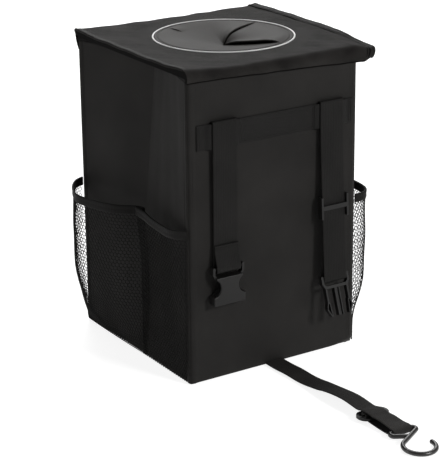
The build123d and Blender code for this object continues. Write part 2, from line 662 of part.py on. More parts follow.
pieces = {
    "outer_shell": outer_shell(),
    "base_board": base_board(),
    "strap_side_board": wall_board(-1),
    "front_board": wall_board(1),
    "liner": liner(),
    "rim_binding": rim_binding(),
    "hinge_strip": hinge_strip(),
    "loop_strip": closure(HALF_DEPTH + TAPE),
    "hook_strip": closure(SKIRT_INNER - CLOSURE),
    "lid_cover": lid_cover(),
    "lid_board": lid_board(),
    "lid_binding_left": lid_binding(-1, LID_LEFT, LID_TAPE_WIDTH_LEFT),
    "lid_binding_right": lid_binding(1, LID_RIGHT, LID_TAPE_WIDTH_RIGHT),
    "trim_ring": trim_ring(),
    "flap_diaphragm": flap_diaphragm(),
    "pocket_left": pocket(-1, BELLY_PRESSED, BELLY),
    "pocket_right": pocket(1, BELLY, BELLY),
    "pocket_binding_left": pocket_binding(-1, BELLY_PRESSED, BELLY),
    "pocket_binding_right": pocket_binding(1, BELLY, BELLY),
    "strap_band": strap_band(),
    "socket_strap": hanging_strap("socket_strap", SOCKET_STRAP_X, SOCKET_BAR_OUT, SOCKET_BAR_Z, -1),
    "buckle_socket": buckle_socket(),
    "plug_strap": hanging_strap("plug_strap", PLUG_STRAP_X, PLUG_BAR_OUT, PLUG_BAR_Z, 1),
    "buckle_plug": buckle_plug(),
    "strap_adjuster": strap_adjuster(),
    "floor_strap": floor_strap(),
    "floor_slider": floor_slider(),
    "hook": hook(),
}

os.makedirs("parts", exist_ok=True)
for name, solid in pieces.items():
    export_step(solid, f"parts/{name}.step")
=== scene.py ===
"""Looks of a folding car trash bin: its cloth, nets, webbing and rubber disc, and the studio round it."""
from math import acos, cos, pi, radians, sin, tan

import bpy
import numpy as np
from mathutils import Matrix, Vector


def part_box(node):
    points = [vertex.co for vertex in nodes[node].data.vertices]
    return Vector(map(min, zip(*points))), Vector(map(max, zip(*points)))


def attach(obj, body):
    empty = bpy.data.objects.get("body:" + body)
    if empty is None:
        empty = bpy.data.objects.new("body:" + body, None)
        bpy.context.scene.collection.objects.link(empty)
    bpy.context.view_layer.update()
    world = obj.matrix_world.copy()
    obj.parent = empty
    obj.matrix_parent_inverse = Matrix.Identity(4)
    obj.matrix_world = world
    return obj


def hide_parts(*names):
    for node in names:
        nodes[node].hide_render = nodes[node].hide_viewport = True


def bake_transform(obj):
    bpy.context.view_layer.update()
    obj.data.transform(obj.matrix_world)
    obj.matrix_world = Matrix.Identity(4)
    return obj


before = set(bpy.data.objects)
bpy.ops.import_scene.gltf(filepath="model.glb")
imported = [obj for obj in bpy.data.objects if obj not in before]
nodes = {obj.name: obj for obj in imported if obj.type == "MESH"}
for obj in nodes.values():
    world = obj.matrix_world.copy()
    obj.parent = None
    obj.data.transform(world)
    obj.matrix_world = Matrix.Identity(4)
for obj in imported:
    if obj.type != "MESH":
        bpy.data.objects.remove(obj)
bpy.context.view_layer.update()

MM = 0.001


def node_box(name):
    """Lowest and highest corner of a node, in millimetres to a tenth."""
    low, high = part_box(name)
    return np.round(np.array(low) / MM, 1), np.round(np.array(high) / MM, 1)


def node_middle(name):
    low, high = node_box(name)
    return np.round((low + high) / 2, 1)


# The box; all sizes are in millimetres where nothing else is said
HALF_WIDTH, HALF_DEPTH, WALL_TOP = node_box("outer_shell")[1]
CREASE_FOOT = 1.0
CREASE_TOP = 30.0
CORNER_ROUND = (1.6, 1.6, 3) * 2
CORNER_STEPS = 4

# Columns of points along a flat wall and along half a creased one, closer at the seam borders
SEAM_STOPS = np.array([3, 5.5, 7.4, 8.2, 9.5])
FACE_STOPS = np.concatenate([SEAM_STOPS, np.linspace(14, 186, 44), 200 - SEAM_STOPS[::-1]]) / 200
PANEL_STOPS = np.concatenate([
    [0.012, 0.035, 0.052, 0.058, 0.063, 0.068, 0.074, 0.085], np.linspace(0.1, 0.97, 26),
])
STOPS = (FACE_STOPS, PANEL_STOPS, 1 - PANEL_STOPS[::-1]) * 2

# Cloth of the shell: its seam borders beside the corners, its soft folds and its round foot
SHELL_CLOTH = 1.0
FLAT_BORDER = (91.6, 92.4)
FLAT_BORDER_RISE = 0.5
SIDE_BORDER = (98.6, 99.6)
SIDE_BORDER_RISE = 0.6
SEAM_AT = 98.7
SEAM_SPREAD = 0.7
SEAM_DEPTH = 0.9
CORNER_SINK = 1.7
CORNER_SINK_RUN = (2.2, 1.0)
FLAT_FOLDS = 0.25
SIDE_FOLDS = 1.1
FOOT_ROUND = 2.5
RIGHT_FOOT_ROUND = 6.5
RIGHT_FOOT_REACH = 14.0
FOOT_LEVELS = (0, 0.25, 0.7, 1.3, 2.0, 3.0, 4.5, 6.5, 9.0)
BORDER_STITCHES = 94.5
BORDER_STITCH_RUN = (8, 299)

# Lining, and the section of the rim's tape as ways in from the wall and heights
LINER_LOW = 4.0
LINER_INSET = np.array([2.0, 3.5])
LINER_CLOTH = 0.6
LINER_FOLDS = 0.8
RIM_SECTION = (
    (-0.7, 300.5), (-0.95, 301.2), (-0.95, 309.5), (-0.85, 311.0), (-0.3, 311.9), (1.2, 312.2),
    (2.8, 312.0), (3.8, 311.2), (4.0, 309.5), (4.0, 304.5), (3.6, 304.0), (0.4, 304.0), (0.2, 300.5),
)
RIM_LOW = 309.5
RIM_FRONT = (94, 88)

# The lid and its two skirts
LID_LEFT, STRAP_SIDE, FRONT_SKIRT = node_box("lid_cover")[0]
LID_RIGHT, LID_FRONT, LID_TOP = node_box("lid_cover")[1]
LID_PLACES = np.linspace(LID_LEFT, LID_RIGHT, 112)
LID_MIDDLE = 50
LID_THICKNESS = 4.0
LID_LEAST = 2.0
LID_CLOTH = 0.9
RIM_CLEAR = 312.6
SKIRT_PROUD = 1.3
LID_SKIRT = STRAP_SIDE - SKIRT_PROUD
SKIRT_CLOTH = 2.3
SKIRT_TUCK = 1.4
SKIRT_BELLY = 0.4
SKIRT_LEAN = 0.55
LEAN_BELOW = 313.0
# Radius of a near-black cord along the strap-side skirt's lower edge: a painted shadow line
SHADOW_CORD = 0.65
STRAP_ROLL = 9.0
FRONT_ROLL = 3.2
FRONT_MIDDLE = 10.0
FRONT_TUCK = 2.2
FRONT_TUCK_RUN = (66, 95)
SKIRT_CORNER = 16.0
SKIRT_AT = (-101, -70, 35, 60, 84, 100, 112)
SKIRT_LOW = (308.9, 308.3, 304.6, 303.7, 302.5, 301.4, 301.0)
SKIRT_END_RISE = 3.0
HOLE = 67.6

# Rises and droops of the lid's soft edges
LEFT_RISE = 1.5
LEFT_CORNER_RISE = 2.2
RIGHT_RISE = 1.2
RIGHT_CORNER_RISE = 1.0
FRONT_RISE = 0.6
FRONT_LEFT_RISE = 1.0
STRAP_DROOP = 6.0
FRONT_DROOP = 2.0
RING_LIP = 0.4
RING_LIP_RUN = (92, 76)

# Sections of the lid's edge tapes: ways outward from the edge, and heights over the cloth
TAPE_SEAM_IN = 4.0
TAPE_SEAM_UP = 0.85
LEFT_RUN = (11, 126)
LEFT_TAPER = (5, 3)
LEFT_TAPE = (
    (-5.2, -0.4), (-5.0, 0.15), (-3.2, 0.25), (-1.4, 0.35), (-0.8, 0.75), (0.0, 0.95), (0.8, 0.75),
    (1.2, 0.1), (1.2, -0.7), (0.8, -1.4), (0.1, -1.7), (-0.6, -1.4),
)
RIGHT_TAPE = (
    (-8.6, -0.4), (-8.4, 0.5), (-7.7, 0.95), (-7.0, 0.8), (-6.5, 0.2), (-6.0, 0.15), (-5.4, 0.7),
    (-4.6, 0.9), (-3.2, 0.9), (-1.8, 1.0), (-1.0, 1.5), (0.0, 1.6), (0.7, 1.1), (0.9, 0.1), (0.9, -3.6),
    (0.4, -4.4), (-3.0, -4.6), (-3.0, -3.8), (-0.3, -3.6),
)

# The ring, with its section as radii and heights
RING_IN = 71.3
RING_OUT = 72.9
RING_SECTION = (
    (RING_IN, 317.2), (RING_IN, 318.0), (RING_IN + 0.2, 318.25), (RING_IN + 0.5, 318.35),
    (RING_OUT - 0.5, 318.35), (RING_OUT - 0.2, 318.2), (RING_OUT, 317.9), (RING_OUT, 316.6),
    (RING_IN, 316.6),
)

# The rubber disc; each slit has a width and the run from the rim over which it opens
DISC = node_middle("flap_diaphragm")[:2]
RUBBER_TOP = node_box("flap_diaphragm")[1][2]
RUBBER = 1.2
GROOVE = 67.6
GROOVE_DEPTH = 0.5
FLANGE = (66.6, 67.0, GROOVE, 68.2, 68.6, 69.5, RING_IN)
SLIT_START = 26.5
SLIT_REACH = 65.5
SLITS = ((2.0, 30), (0.1, 1.5), (0.1, 1.5), (0.6, 1.5))
PETAL_SAG = 10.6
PETAL_CURL = 8.0
FAR_PETAL_RAISE = 1.8
FAR_PETAL_LIP = 0.9
NEAR_PETAL_DIP = 0.8
LIFTED_AT = (0, 3, 8, 14, 24, 35, 41, 47, 52, 56, 60, 63, 65.5)
LIFTED_DROP = (10.6, 8.2, 6.2, 4.7, 3.1, 1.5, 0.4, -0.6, -1.2, -1.5, -1.3, -0.6, 0)

# Nets of the pockets; the strand is in metres, and the grid's steps to a millimetre find shared corners
POCKET_END = node_box("pocket_left")[1][1]
NET_LOW = 1.5
NET_HIGH = 156.0
NET_PITCH = 4.1
NET_GRID = 20
NET_STRAND = 0.00078
NET_OUT = 0.5

# Shares of a pocket's full bulge at its levels, for the left net and for the right ones
LEVELS = (0, 8, 16, 25, 34, 46, 56, 65, 76, 88)
LEFT_SHARES = (0.0, 0.16, 0.34, 0.5, 0.62, 0.75, 0.86, 0.93, 0.98, 1.0)
RIGHT_SHARES = (0.0, 0.0, 0.02, 0.09, 0.27, 0.6, 0.8, 0.92, 0.99, 1.0)

# The right nets' bellies
BULGE = 28.0
BELLY_POWER = 3.0
BELLY_LEVEL = 150.0

# Plans of the left net with its pleat, at the mouth and below
MOUTH_PLAN = (
    (-100.5, -105), (-103, -101), (-107.5, -90), (-108.5, -78), (-106.5, -50), (-105, -30), (-104.2, -18),
    (-103.4, -11.5), (-101.6, -11.2), (-101, -16), (-100.6, -20.5), (-98.8, -20.8), (-98.8, -15),
    (-103, -9), (-111, -3), (-119.5, 6), (-126.5, 20), (-131.5, 40), (-134, 55), (-131, 69), (-124, 84),
    (-116.5, 95), (-108, 102.5), (-100.5, 105),
)
BODY_PLAN = (
    (-100.5, -105), (-102.5, -101), (-105, -90), (-105.5, -78), (-104.5, -50), (-103, -30), (-101, -19),
    (-99.4, -12), (-97.6, -11.5), (-97, -16), (-96.6, -20.5), (-94.8, -21), (-95, -15), (-99.5, -9),
    (-107, -2.5), (-116, 6), (-124, 20), (-130, 40), (-132.5, 55), (-131, 69), (-125.5, 84), (-118, 95),
    (-108.5, 102.5), (-100.5, 105),
)
MOUTH_DRAPE = (105, 158)
MOUTH_DIP = 2.5
MOUTH_DIP_SPAN = (-103, -35)

# Section of the tape along a pocket's mouth: ways out from the net, and heights
MOUTH_TAPE = (
    (-0.7, 153.0), (-0.9, 154.0), (-0.9, 161.0), (-0.5, 162.0), (0.2, 162.3), (0.9, 162.0), (1.2, 161.0),
    (1.0, 158.5), (0.85, 157.6), (1.05, 156.7), (1.2, 154.2), (0.8, 153.0), (0, 152.6),
)
TAPE_START = 0.5
TAPE_STEP = 1.1
GATHER = 0.1
GATHER_PITCH = 3.4

# Webbing across the strap side, with its sewn rows and bars
BAND_LEFT, _, BAND_LOW = node_box("strap_band")[0]
BAND_RIGHT, _, BAND_HIGH = node_box("strap_band")[1]
BAND_THICKNESS = 1.4
BAND_RIBS = 13
BAND_OUT = 0.75
BAND_RAISE = 2.2
BAND_RAISE_RUN = (22, 15)
BAND_ROW = (-40, 46)
BAND_ROW_IN = 2.0
BAND_BAR_IN = 1.5
BAND_BARS = (-88.5, -86.6, -41, -39, 45, 47, 90, 92)

# Straps
SOCKET_X = node_middle("socket_strap")[0]
PLUG_X = node_middle("plug_strap")[0]
STRAP_WIDTH = 28.0
STRAP_THICKNESS = 1.6
STRAP_RIBS = 14
STRAP_RELIEF = 0.16
FLOOR_WIDTH = 22.0
FLOOR_THICKNESS = 1.4
FLOOR_RIBS = 12
FLAT_RELIEF = 0.1
FLOOR_YAW = radians(1.4)
FLOOR_SLANT = 0.1
SLANT_START = (70, 110)
SLANT_END = (204, 190)
SLANT_HEIGHT = (4.5, 6.0)

# Stitches, and the sewn end of the socket's strap
STITCH_SINK = 0.15
SEWN_ROWS = (137.4, 140.6)
SEWN_HALF = 13.0
SEWN_TICKS = (137.6, 140.8)
TICKS_HALF = 12.5
SEWN_OUT = 6.75

# Routes of the straps' middle lines: ways out from the wall, and heights
BAND_LOOP = ((1.1, 237.5), (1.1, 264.2), (1.1, 267.8), (4.7, 267.8), (4.7, 264.2), (4.7, 234.5))
SOCKET_ROUTE = BAND_LOOP + (
    (3.85, 122.2), (3.8, 115.8), (10.2, 115.8), (10.2, 122.2), (5.853, 136), (5.906, 143),
)
PLUG_ROUTE = BAND_LOOP + (
    (13.81, 86.2), (14.2, 79.8), (7.8, 79.8), (7.8, 86.2), (11.06, 100), (10.63, 107),
)
FLOOR_ROUTE = (
    (-0.8, 2.1), (15, 1.5), (34, 2.7), (58, 1.6), (84, 5.0), (108, 8.2), (127, 9.4), (141, 8.1),
    (150.5, 7.0), (157, 9.1), (166, 9.2), (173, 8.2), (180, 8.8), (194, 7.5), (205.3, 7.4), (205.3, 0.8),
    (198.7, 0.8), (186, 0.8), (169.77, 2.03), (164.95, 2.4), (162.95, 6.8), (157.05, 6.8), (155.05, 2.4),
    (150, 2.3),
)

# Closure strips
CLOSURE_CORNER = 2.0
CLOSURE_SECTION = ((0, 0.0), (0.7, 0.0), (0.95, 0.3), (1.0, 0.8))

# Cloth: its fine grain, the shares of threads and grain in its tone, and the half widths of a painted
# shade line in a sunk seam's groove
CLOTH_GRAIN = 900.0
THREAD_SHARE = 0.25
GRAIN_SHARE = 0.2
SHEEN_ROUGHNESS = 0.45
SEAM_SHADE_WIDTHS = (0.9, 1.3)

# Moulded surfaces: their blotches, the grain's share in their tone, and their spread of roughness
MOULD_BLOTCH = 60.0
MOULD_GRAIN_SHARE = 0.35
ROUGHNESS_SPREAD = 0.08

# Camera, its place in metres
CAMERA_PLACE = (-0.93718, -1.47495, 0.73336)
CAMERA_AZIMUTH = radians(-32.54)
CAMERA_PITCH = radians(19.54)
CAMERA_ROLL = radians(-0.59)
CAMERA_LENS = 138.84
CAMERA_SENSOR = 36

# Floor and lights, with places and sizes in metres and power in watts
FLOOR_REACH = 14.0
FLOOR_LEVEL = -0.0004
FLOOR_GLOW = 0.85
STUDIO_GLOW = 0.2
LIGHT_AIM = (0, 0, 0.15)
LIGHTS = (
    ("key", (0.75, -2.2, 1.3), 0.45, 45),
    ("left", (-2.0, 0.6, 0.9), 1.0, 9.5),
    ("top", (0.9, 1.1, 1.9), 1.6, 26),
    ("back", (0.8, 1.6, 1.2), 1.2, 24),
)


def smooth(value, low, high):
    """Share that goes softly from 0 at low to 1 at high."""
    share = np.clip((np.asarray(value, float) - low) / (high - low), 0, 1)
    return share * share * (3 - 2 * share)


def swell(value, low, high):
    """Share from 0 at low and at high to 1 half way between them."""
    return np.sin(pi * np.clip((value - low) / (high - low), 0, 1))


def ripple(u, v, wave, seed):
    """Uneven soft surface, about within 1 of nought, of about this wave length."""
    random = np.random.default_rng(seed)
    total = 0
    for _ in range(6):
        turn, phase = random.uniform(0, 2 * pi, 2)
        count = random.uniform(0.6, 1.6) / wave
        total = total + np.sin(2 * pi * count * (u * cos(turn) + v * sin(turn)) + phase)
    return total / 4


def unit(vectors):
    vectors = np.asarray(vectors, float)
    return vectors / np.maximum(np.linalg.norm(vectors, axis=-1, keepdims=True), 1e-9)


def points_at(x, y, z):
    """Points from three coordinates; a single number holds for all of them."""
    return np.stack(np.broadcast_arrays(x, y, z), axis=-1)


def way_along(line):
    """Way along a line at each of its points."""
    return np.concatenate([[0], np.cumsum(np.linalg.norm(np.diff(line, axis=0), axis=1))])


def points_along(line, way, at):
    """Points of a line at some ways along it."""
    return np.stack([np.interp(at, way, column) for column in line.T], axis=-1)


class Piece:
    """Gathers points, faces and weave places in millimetres for one object."""

    def __init__(self):
        self.points = []
        self.faces = []
        self.places = []
        self.count = 0

    def add(self, points):
        points = np.asarray(points, float)
        numbers = np.arange(self.count, self.count + points[..., 0].size).reshape(points.shape[:-1])
        self.points.append(points.reshape(-1, 3))
        self.count += numbers.size
        return numbers

    def quads(self, numbers, u, v, flip=False, keep=None):
        """Faces of a grid; u and v give the weave's place at each of its points."""
        u, v = np.broadcast_arrays(u, v)
        near = slice(None, -1)
        far = slice(1, None)
        corners = [(near, near), (near, far), (far, far), (far, near)]
        if flip:
            corners.reverse()
        faces = np.stack([numbers[c] for c in corners], axis=-1)
        places = np.stack([np.stack([u[c], v[c]], axis=-1) for c in corners], axis=-2)
        if keep is not None:
            faces = faces[keep]
            places = places[keep]
        self.faces += faces.reshape(-1, 4).tolist()
        self.places += places.reshape(-1, 2).tolist()

    def face(self, numbers, places):
        self.faces.append([int(n) for n in numbers])
        self.places += [tuple(p) for p in places]

    def cap(self, numbers, flip=False):
        points = np.concatenate(self.points)[numbers]
        spread = np.argsort(np.ptp(points, axis=0))[1:]
        order = list(range(len(numbers)))
        if flip:
            order.reverse()
        self.face([numbers[i] for i in order], points[order][:, sorted(spread)])

    def tube(self, rings, wrap_rows=False):
        """Skin over rings of equal count; returns the numbers of the rings' points."""
        rings = np.asarray(rings, float)
        numbers = self.add(rings)
        loop = np.concatenate([rings, rings[:, :1]], axis=1)
        around = np.cumsum(np.linalg.norm(np.diff(loop, axis=1, prepend=loop[:, :1]), axis=2), axis=1)
        along = np.cumsum(np.linalg.norm(np.diff(loop, axis=0, prepend=loop[:1]), axis=2), axis=0)
        columns = np.concatenate([numbers, numbers[:, :1]], axis=1)
        self.quads(columns, around.mean(axis=0)[None], along.mean(axis=1)[:, None])
        if wrap_rows:
            reach = along[-1].mean() + np.array([[0.0], [2.0]])
            self.quads(columns[[-1, 0]], around.mean(axis=0)[None], reach)
        return numbers

    def closed_tube(self, rings):
        """Skin over rings, with a cap at each end."""
        numbers = self.tube(rings)
        self.cap(numbers[0], flip=True)
        self.cap(numbers[-1])

    def drop_spare(self):
        """Leave out the points that no face uses."""
        used = sorted({n for face in self.faces for n in face})
        renumber = {n: i for i, n in enumerate(used)}
        self.points = [np.concatenate(self.points)[used]]
        self.faces = [[renumber[n] for n in face] for face in self.faces]

    def make(self, name, material, slot, replaces=(), body=None):
        mesh = bpy.data.meshes.new(name)
        mesh.from_pydata((np.concatenate(self.points) * MM).tolist(), [], self.faces)
        layer = mesh.uv_layers.new(name="weave")
        layer.data.foreach_set("uv", np.asarray(self.places, np.float32).ravel())
        mesh.polygons.foreach_set("use_smooth", [True] * len(mesh.polygons))
        mesh.materials.append(material)
        made = bpy.data.objects.new(name, mesh)
        bpy.context.scene.collection.objects.link(made)
        if replaces:
            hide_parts(*replaces)
        if body:
            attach(made, body)
        return made


def closed_piece(rings):
    piece = Piece()
    piece.closed_tube(rings)
    return piece


# Materials


def set_inputs(tree, node, inputs):
    for key, value in inputs.items():
        if isinstance(value, bpy.types.NodeSocket):
            tree.links.new(value, node.inputs[key])
        else:
            node.inputs[key].default_value = value


def add_node(tree, kind, inputs, **settings):
    made = tree.nodes.new("ShaderNode" + kind)
    for key, value in settings.items():
        setattr(made, key, value)
    set_inputs(tree, made, inputs)
    return made


def calc(tree, operation, first, second=0.0, third=0.0):
    return add_node(tree, "Math", {0: first, 1: second, 2: third}, operation=operation).outputs[0]


def mixed(tree, first, second, share):
    """Sum of two values, with this share of the first."""
    return calc(tree, "MULTIPLY_ADD", first, share, calc(tree, "MULTIPLY", second, 1 - share))


def new_material(name):
    made = bpy.data.materials.new(name)
    made.use_nodes = True
    return made, made.node_tree, made.node_tree.nodes["Principled BSDF"]


def noise(tree, scale, detail=3.0):
    place = add_node(tree, "TexCoord", {}).outputs["Object"]
    return add_node(tree, "TexNoise", {"Vector": place, "Scale": scale, "Detail": detail}).outputs["Fac"]


def weave_places(tree):
    """The two weave places of a point, in millimetres."""
    split = add_node(tree, "SeparateXYZ", {0: add_node(tree, "UVMap", {}, uv_map="weave").outputs[0]})
    return split.outputs[0], split.outputs[1]


def weave(tree, pitch_u, pitch_v, slant):
    """Height of a plain weave, whose threads pass over and under each other."""
    u, v = weave_places(tree)
    u = calc(tree, "MULTIPLY", u, pi / pitch_u)
    v = calc(tree, "MULTIPLY", v, pi / pitch_v)
    across = calc(tree, "SINE", u)
    along = calc(tree, "SINE", calc(tree, "MULTIPLY_ADD", u, slant, v))
    over = calc(tree, "GREATER_THAN", calc(tree, "MULTIPLY", across, along))
    warp = calc(tree, "ABSOLUTE", across)
    weft = calc(tree, "ABSOLUTE", along)
    upper = calc(tree, "MULTIPLY", warp, calc(tree, "MULTIPLY_ADD", weft, 0.4, 0.6))
    lower = calc(tree, "MULTIPLY", weft, calc(tree, "MULTIPLY_ADD", warp, 0.4, 0.6))
    return add_node(tree, "Mix", {0: over, 2: lower, 3: upper}).outputs[0]


def tone(tree, shader, factor, dark, light, warmth=0.06):
    """Grey from dark to light by a factor, a little warm."""
    ramp = add_node(tree, "ValToRGB", {0: factor})
    for stop, place, value in zip(ramp.color_ramp.elements, (0.3, 0.7), (dark, light)):
        stop.position = place
        stop.color = (value * (1 + warmth), value, value * (1 - warmth), 1)
    tree.links.new(ramp.outputs[0], shader.inputs["Base Color"])


def bump(tree, shader, height, depth):
    made = add_node(tree, "Bump", {"Height": height, "Distance": depth, "Strength": 1.0})
    tree.links.new(made.outputs[0], shader.inputs["Normal"])


def cloth(name, dark, light, roughness, pitch, depth, pitch_v=None, slant=0.0, seam=None, blotch=22.0,
          specular=0.1, sheen=0.01):
    """Woven cloth, uneven in tone, with its threads as a relief and maybe a painted shade line along a
    sunk seam's groove.
    """
    made, tree, shader = new_material(name)
    threads = weave(tree, pitch, pitch_v or pitch, slant)
    uneven = noise(tree, blotch, 4.0)
    grain = noise(tree, CLOTH_GRAIN, 2.0)
    shade = mixed(tree, grain, mixed(tree, threads, uneven, THREAD_SHARE), GRAIN_SHARE)
    # A darker line along the seam's place: painted shade in its groove
    if seam:
        away = calc(tree, "ABSOLUTE", calc(tree, "SUBTRACT", weave_places(tree)[0], seam))
        beside = add_node(tree, "MapRange", {0: away, 1: SEAM_SHADE_WIDTHS[0], 2: SEAM_SHADE_WIDTHS[1]}).outputs[0]
        shade = calc(tree, "MULTIPLY", shade, beside)
    tone(tree, shader, shade, dark, light)
    set_inputs(tree, shader, {"Roughness": roughness, "Specular IOR Level": specular,
                              "Sheen Weight": sheen, "Sheen Roughness": SHEEN_ROUGHNESS})
    bump(tree, shader, calc(tree, "MULTIPLY_ADD", uneven, 0.5, threads), depth)
    return made


def moulded(name, dark, light, roughness, grain, depth, specular=0.5, warmth=0.06):
    """Moulded plastic, rubber or coating with a fine grain."""
    made, tree, shader = new_material(name)
    fine = noise(tree, grain)
    uneven = noise(tree, MOULD_BLOTCH, 4.0)
    tone(tree, shader, mixed(tree, fine, uneven, MOULD_GRAIN_SHARE), dark, light, warmth)
    least = roughness - ROUGHNESS_SPREAD
    most = roughness + ROUGHNESS_SPREAD
    rough = add_node(tree, "MapRange", {0: uneven, 3: least, 4: most}).outputs[0]
    set_inputs(tree, shader, {"Roughness": rough, "Specular IOR Level": specular})
    bump(tree, shader, fine, depth)
    return made


SHELL_FABRIC = cloth("shell_fabric", 0.0088, 0.016, 0.7, 0.62, 0.00012)
LID_FABRIC = cloth("lid_fabric", 0.006, 0.0205, 0.7, 0.62, 0.00012, blotch=38.0, specular=0.027)
LINING = cloth("lining", 0.008, 0.014, 0.42, 0.5, 0.00004)
TAPE = cloth("binding_tape", 0.007, 0.016, 0.62, 0.45, 0.0001, pitch_v=1.3, specular=0.03)
# The right edge tape is darkened along its groove: painted shade
EDGE_TAPE = cloth("edge_tape", 0.002, 0.022, 0.62, 0.45, 0.0001, pitch_v=1.3, seam=3.6, specular=0.03)
NET_TAPE = cloth("net_tape", 0.0035, 0.0085, 0.66, 0.45, 0.0001, pitch_v=1.3)
# Near-black cloth of the lid's cut edges and skirt cord: painted shade
PAINTED_EDGE_SHADE = cloth("painted_edge_shade", 0.0015, 0.0035, 0.8, 0.5, 0.00005, specular=0.03)
WEBBING = cloth("webbing", 0.0038, 0.0098, 0.6, 0.7, 0.00012, pitch_v=1.0, slant=0.6)
ELASTIC = cloth("elastic", 0.011, 0.027, 0.62, 0.8, 0.00012, pitch_v=0.8)
NET = cloth("net", 0.003, 0.008, 0.7, 0.3, 0.00005)
THREAD = cloth("thread", 0.006, 0.016, 0.5, 0.2, 0.00004)
PILE = cloth("closure_pile", 0.004, 0.01, 0.85, 0.9, 0.0004, sheen=0.2)
BOARD = moulded("board", 0.015, 0.025, 0.7, 400.0, 0.0001)
RUBBER_SKIN = moulded("rubber", 0.025, 0.036, 0.5, 700.0, 0.00003, specular=0.015, warmth=0.05)
RING_PLASTIC = moulded("ring_plastic", 0.36, 0.45, 0.35, 900.0, 0.00001, warmth=0.01)
BUCKLE_PLASTIC = moulded("buckle_plastic", 0.004, 0.007, 0.45, 1200.0, 0.00003, specular=0.25)
HOOK_COAT = moulded("hook_coat", 0.01, 0.02, 0.3, 500.0, 0.00004)


# Camera, floor and light


def add_camera():
    camera = bpy.data.objects.new("camera", bpy.data.cameras.new("camera"))
    camera.data.lens = CAMERA_LENS
    camera.data.sensor_width = CAMERA_SENSOR
    azimuth = Matrix.Rotation(CAMERA_AZIMUTH, 4, "Z")
    pitch = Matrix.Rotation(pi / 2 - CAMERA_PITCH, 4, "X")
    roll = Matrix.Rotation(CAMERA_ROLL, 4, "Z")
    camera.matrix_world = Matrix.Translation(CAMERA_PLACE) @ azimuth @ pitch @ roll
    bpy.context.scene.collection.objects.link(camera)
    bpy.context.scene.camera = camera


def add_light(name, place, size, watts):
    light = bpy.data.objects.new(name, bpy.data.lights.new(name, "AREA"))
    light.data.size = size
    light.data.energy = watts
    light.location = place
    light.rotation_euler = (Vector(LIGHT_AIM) - Vector(place)).to_track_quat("-Z", "Y").to_euler()
    light.visible_camera = False
    bpy.context.scene.collection.objects.link(light)


def add_floor():
    paper, tree, shader = new_material("floor_paper")
    tone(tree, shader, noise(tree, 3.0), 0.32, 0.35, 0)
    set_inputs(tree, shader, {"Roughness": 0.9, "Emission Color": (1, 1, 1, 1),
                              "Emission Strength": FLOOR_GLOW})
    signs = ((-1, -1), (1, -1), (1, 1), (-1, 1))
    corners = [(x * FLOOR_REACH, y * FLOOR_REACH, FLOOR_LEVEL) for x, y in signs]
    mesh = bpy.data.meshes.new("floor")
    mesh.from_pydata(corners, [], [(0, 1, 2, 3)])
    mesh.materials.append(paper)
    made = bpy.data.objects.new("floor", mesh)
    bpy.context.scene.collection.objects.link(made)


def add_studio():
    world = bpy.data.worlds.new("studio")
    world.use_nodes = True
    background = world.node_tree.nodes["Background"]
    set_inputs(world.node_tree, background, {"Color": (1, 1, 1, 1), "Strength": STUDIO_GLOW})
    bpy.context.scene.world = world
    bpy.context.scene.view_settings.view_transform = "Standard"
    for light in LIGHTS:
        add_light(*light)


add_camera()
add_floor()
add_studio()


# Straps


def smooth_line(name, points):
    """Points of the smooth line that these control, read from the curve itself."""
    curve = bpy.data.curves.new(name, "CURVE")
    curve.dimensions = "3D"
    spline = curve.splines.new("NURBS")
    spline.points.add(len(points) - 1)
    for control, place in zip(spline.points, points):
        control.co = (*(np.asarray(place) * MM), 1)
    spline.order_u = 3
    spline.use_endpoint_u = True
    spline.resolution_u = 14
    holder = bpy.data.objects.new(name, curve)
    mesh = bpy.data.meshes.new_from_object(holder)
    line = np.array([vertex.co[:] for vertex in mesh.vertices]) / MM
    bpy.data.meshes.remove(mesh)
    bpy.data.objects.remove(holder)
    bpy.data.curves.remove(curve)
    return line


def ribbon_section(width, thickness, ribs, relief):
    """Outline of flat webbing with lengthwise ribs, as places across and heights."""
    across = np.linspace(-width / 2, width / 2, 6 * ribs + 1)
    from_edge = np.clip((width / 2 - np.abs(across)) / (thickness / 2), 0, 1)
    height = thickness / 2 * np.sqrt(np.maximum(1 - (1 - from_edge) ** 2, 0.01))
    height = height - relief * (0.5 - 0.5 * np.cos(2 * pi * ribs * (across / width + 0.5))) * from_edge
    return np.concatenate([across[::-1], across]), np.concatenate([height[::-1], -height])


def ribbon(line, aside, width, thickness, ribs, relief, sway=None):
    """Webbing along a line; aside is the direction of its width."""
    aside = np.asarray(aside, float)
    tangent = unit(np.gradient(line, axis=0))
    up = unit(np.cross(tangent, aside))
    across, height = ribbon_section(width, thickness, ribs, relief)
    rings = line[:, None] + across[None, :, None] * aside + height[None, :, None] * up[:, None]
    if sway is not None:
        rings = rings + sway(rings)
    return closed_piece(rings)


def floor_place(points):
    """From the floor strap's own frame, with places aside, out and up, to the bin's."""
    aside, out, up = np.moveaxis(np.asarray(points, float), -1, 0)
    x = aside * cos(FLOOR_YAW) + out * sin(FLOOR_YAW)
    y = aside * sin(FLOOR_YAW) - out * cos(FLOOR_YAW) - HALF_DEPTH
    return points_at(x, y, up)


def floor_twist(rings):
    """The upper run of the floor strap lies a little aslant, its left edge higher."""
    aside = rings[..., 0] - rings.mean(axis=1)[:, None, 0]
    out = -HALF_DEPTH - rings[..., 1]
    lean = smooth(out, *SLANT_START) * smooth(out, *SLANT_END) * smooth(rings[..., 2], *SLANT_HEIGHT)
    return points_at(0, 0, -FLOOR_SLANT * aside * lean)


def hang_strap(name, route, x):
    """Strap from behind the band, over it and down."""
    line = smooth_line(name + "_line", [(x, -HALF_DEPTH - out, z) for out, z in route])
    piece = ribbon(line, (1, 0, 0), STRAP_WIDTH, STRAP_THICKNESS, STRAP_RIBS, STRAP_RELIEF)
    made = piece.make(name + "_webbing", WEBBING, "webbing", [name], "bin")


hang_strap("socket_strap", SOCKET_ROUTE, SOCKET_X)
hang_strap("plug_strap", PLUG_ROUTE, PLUG_X)

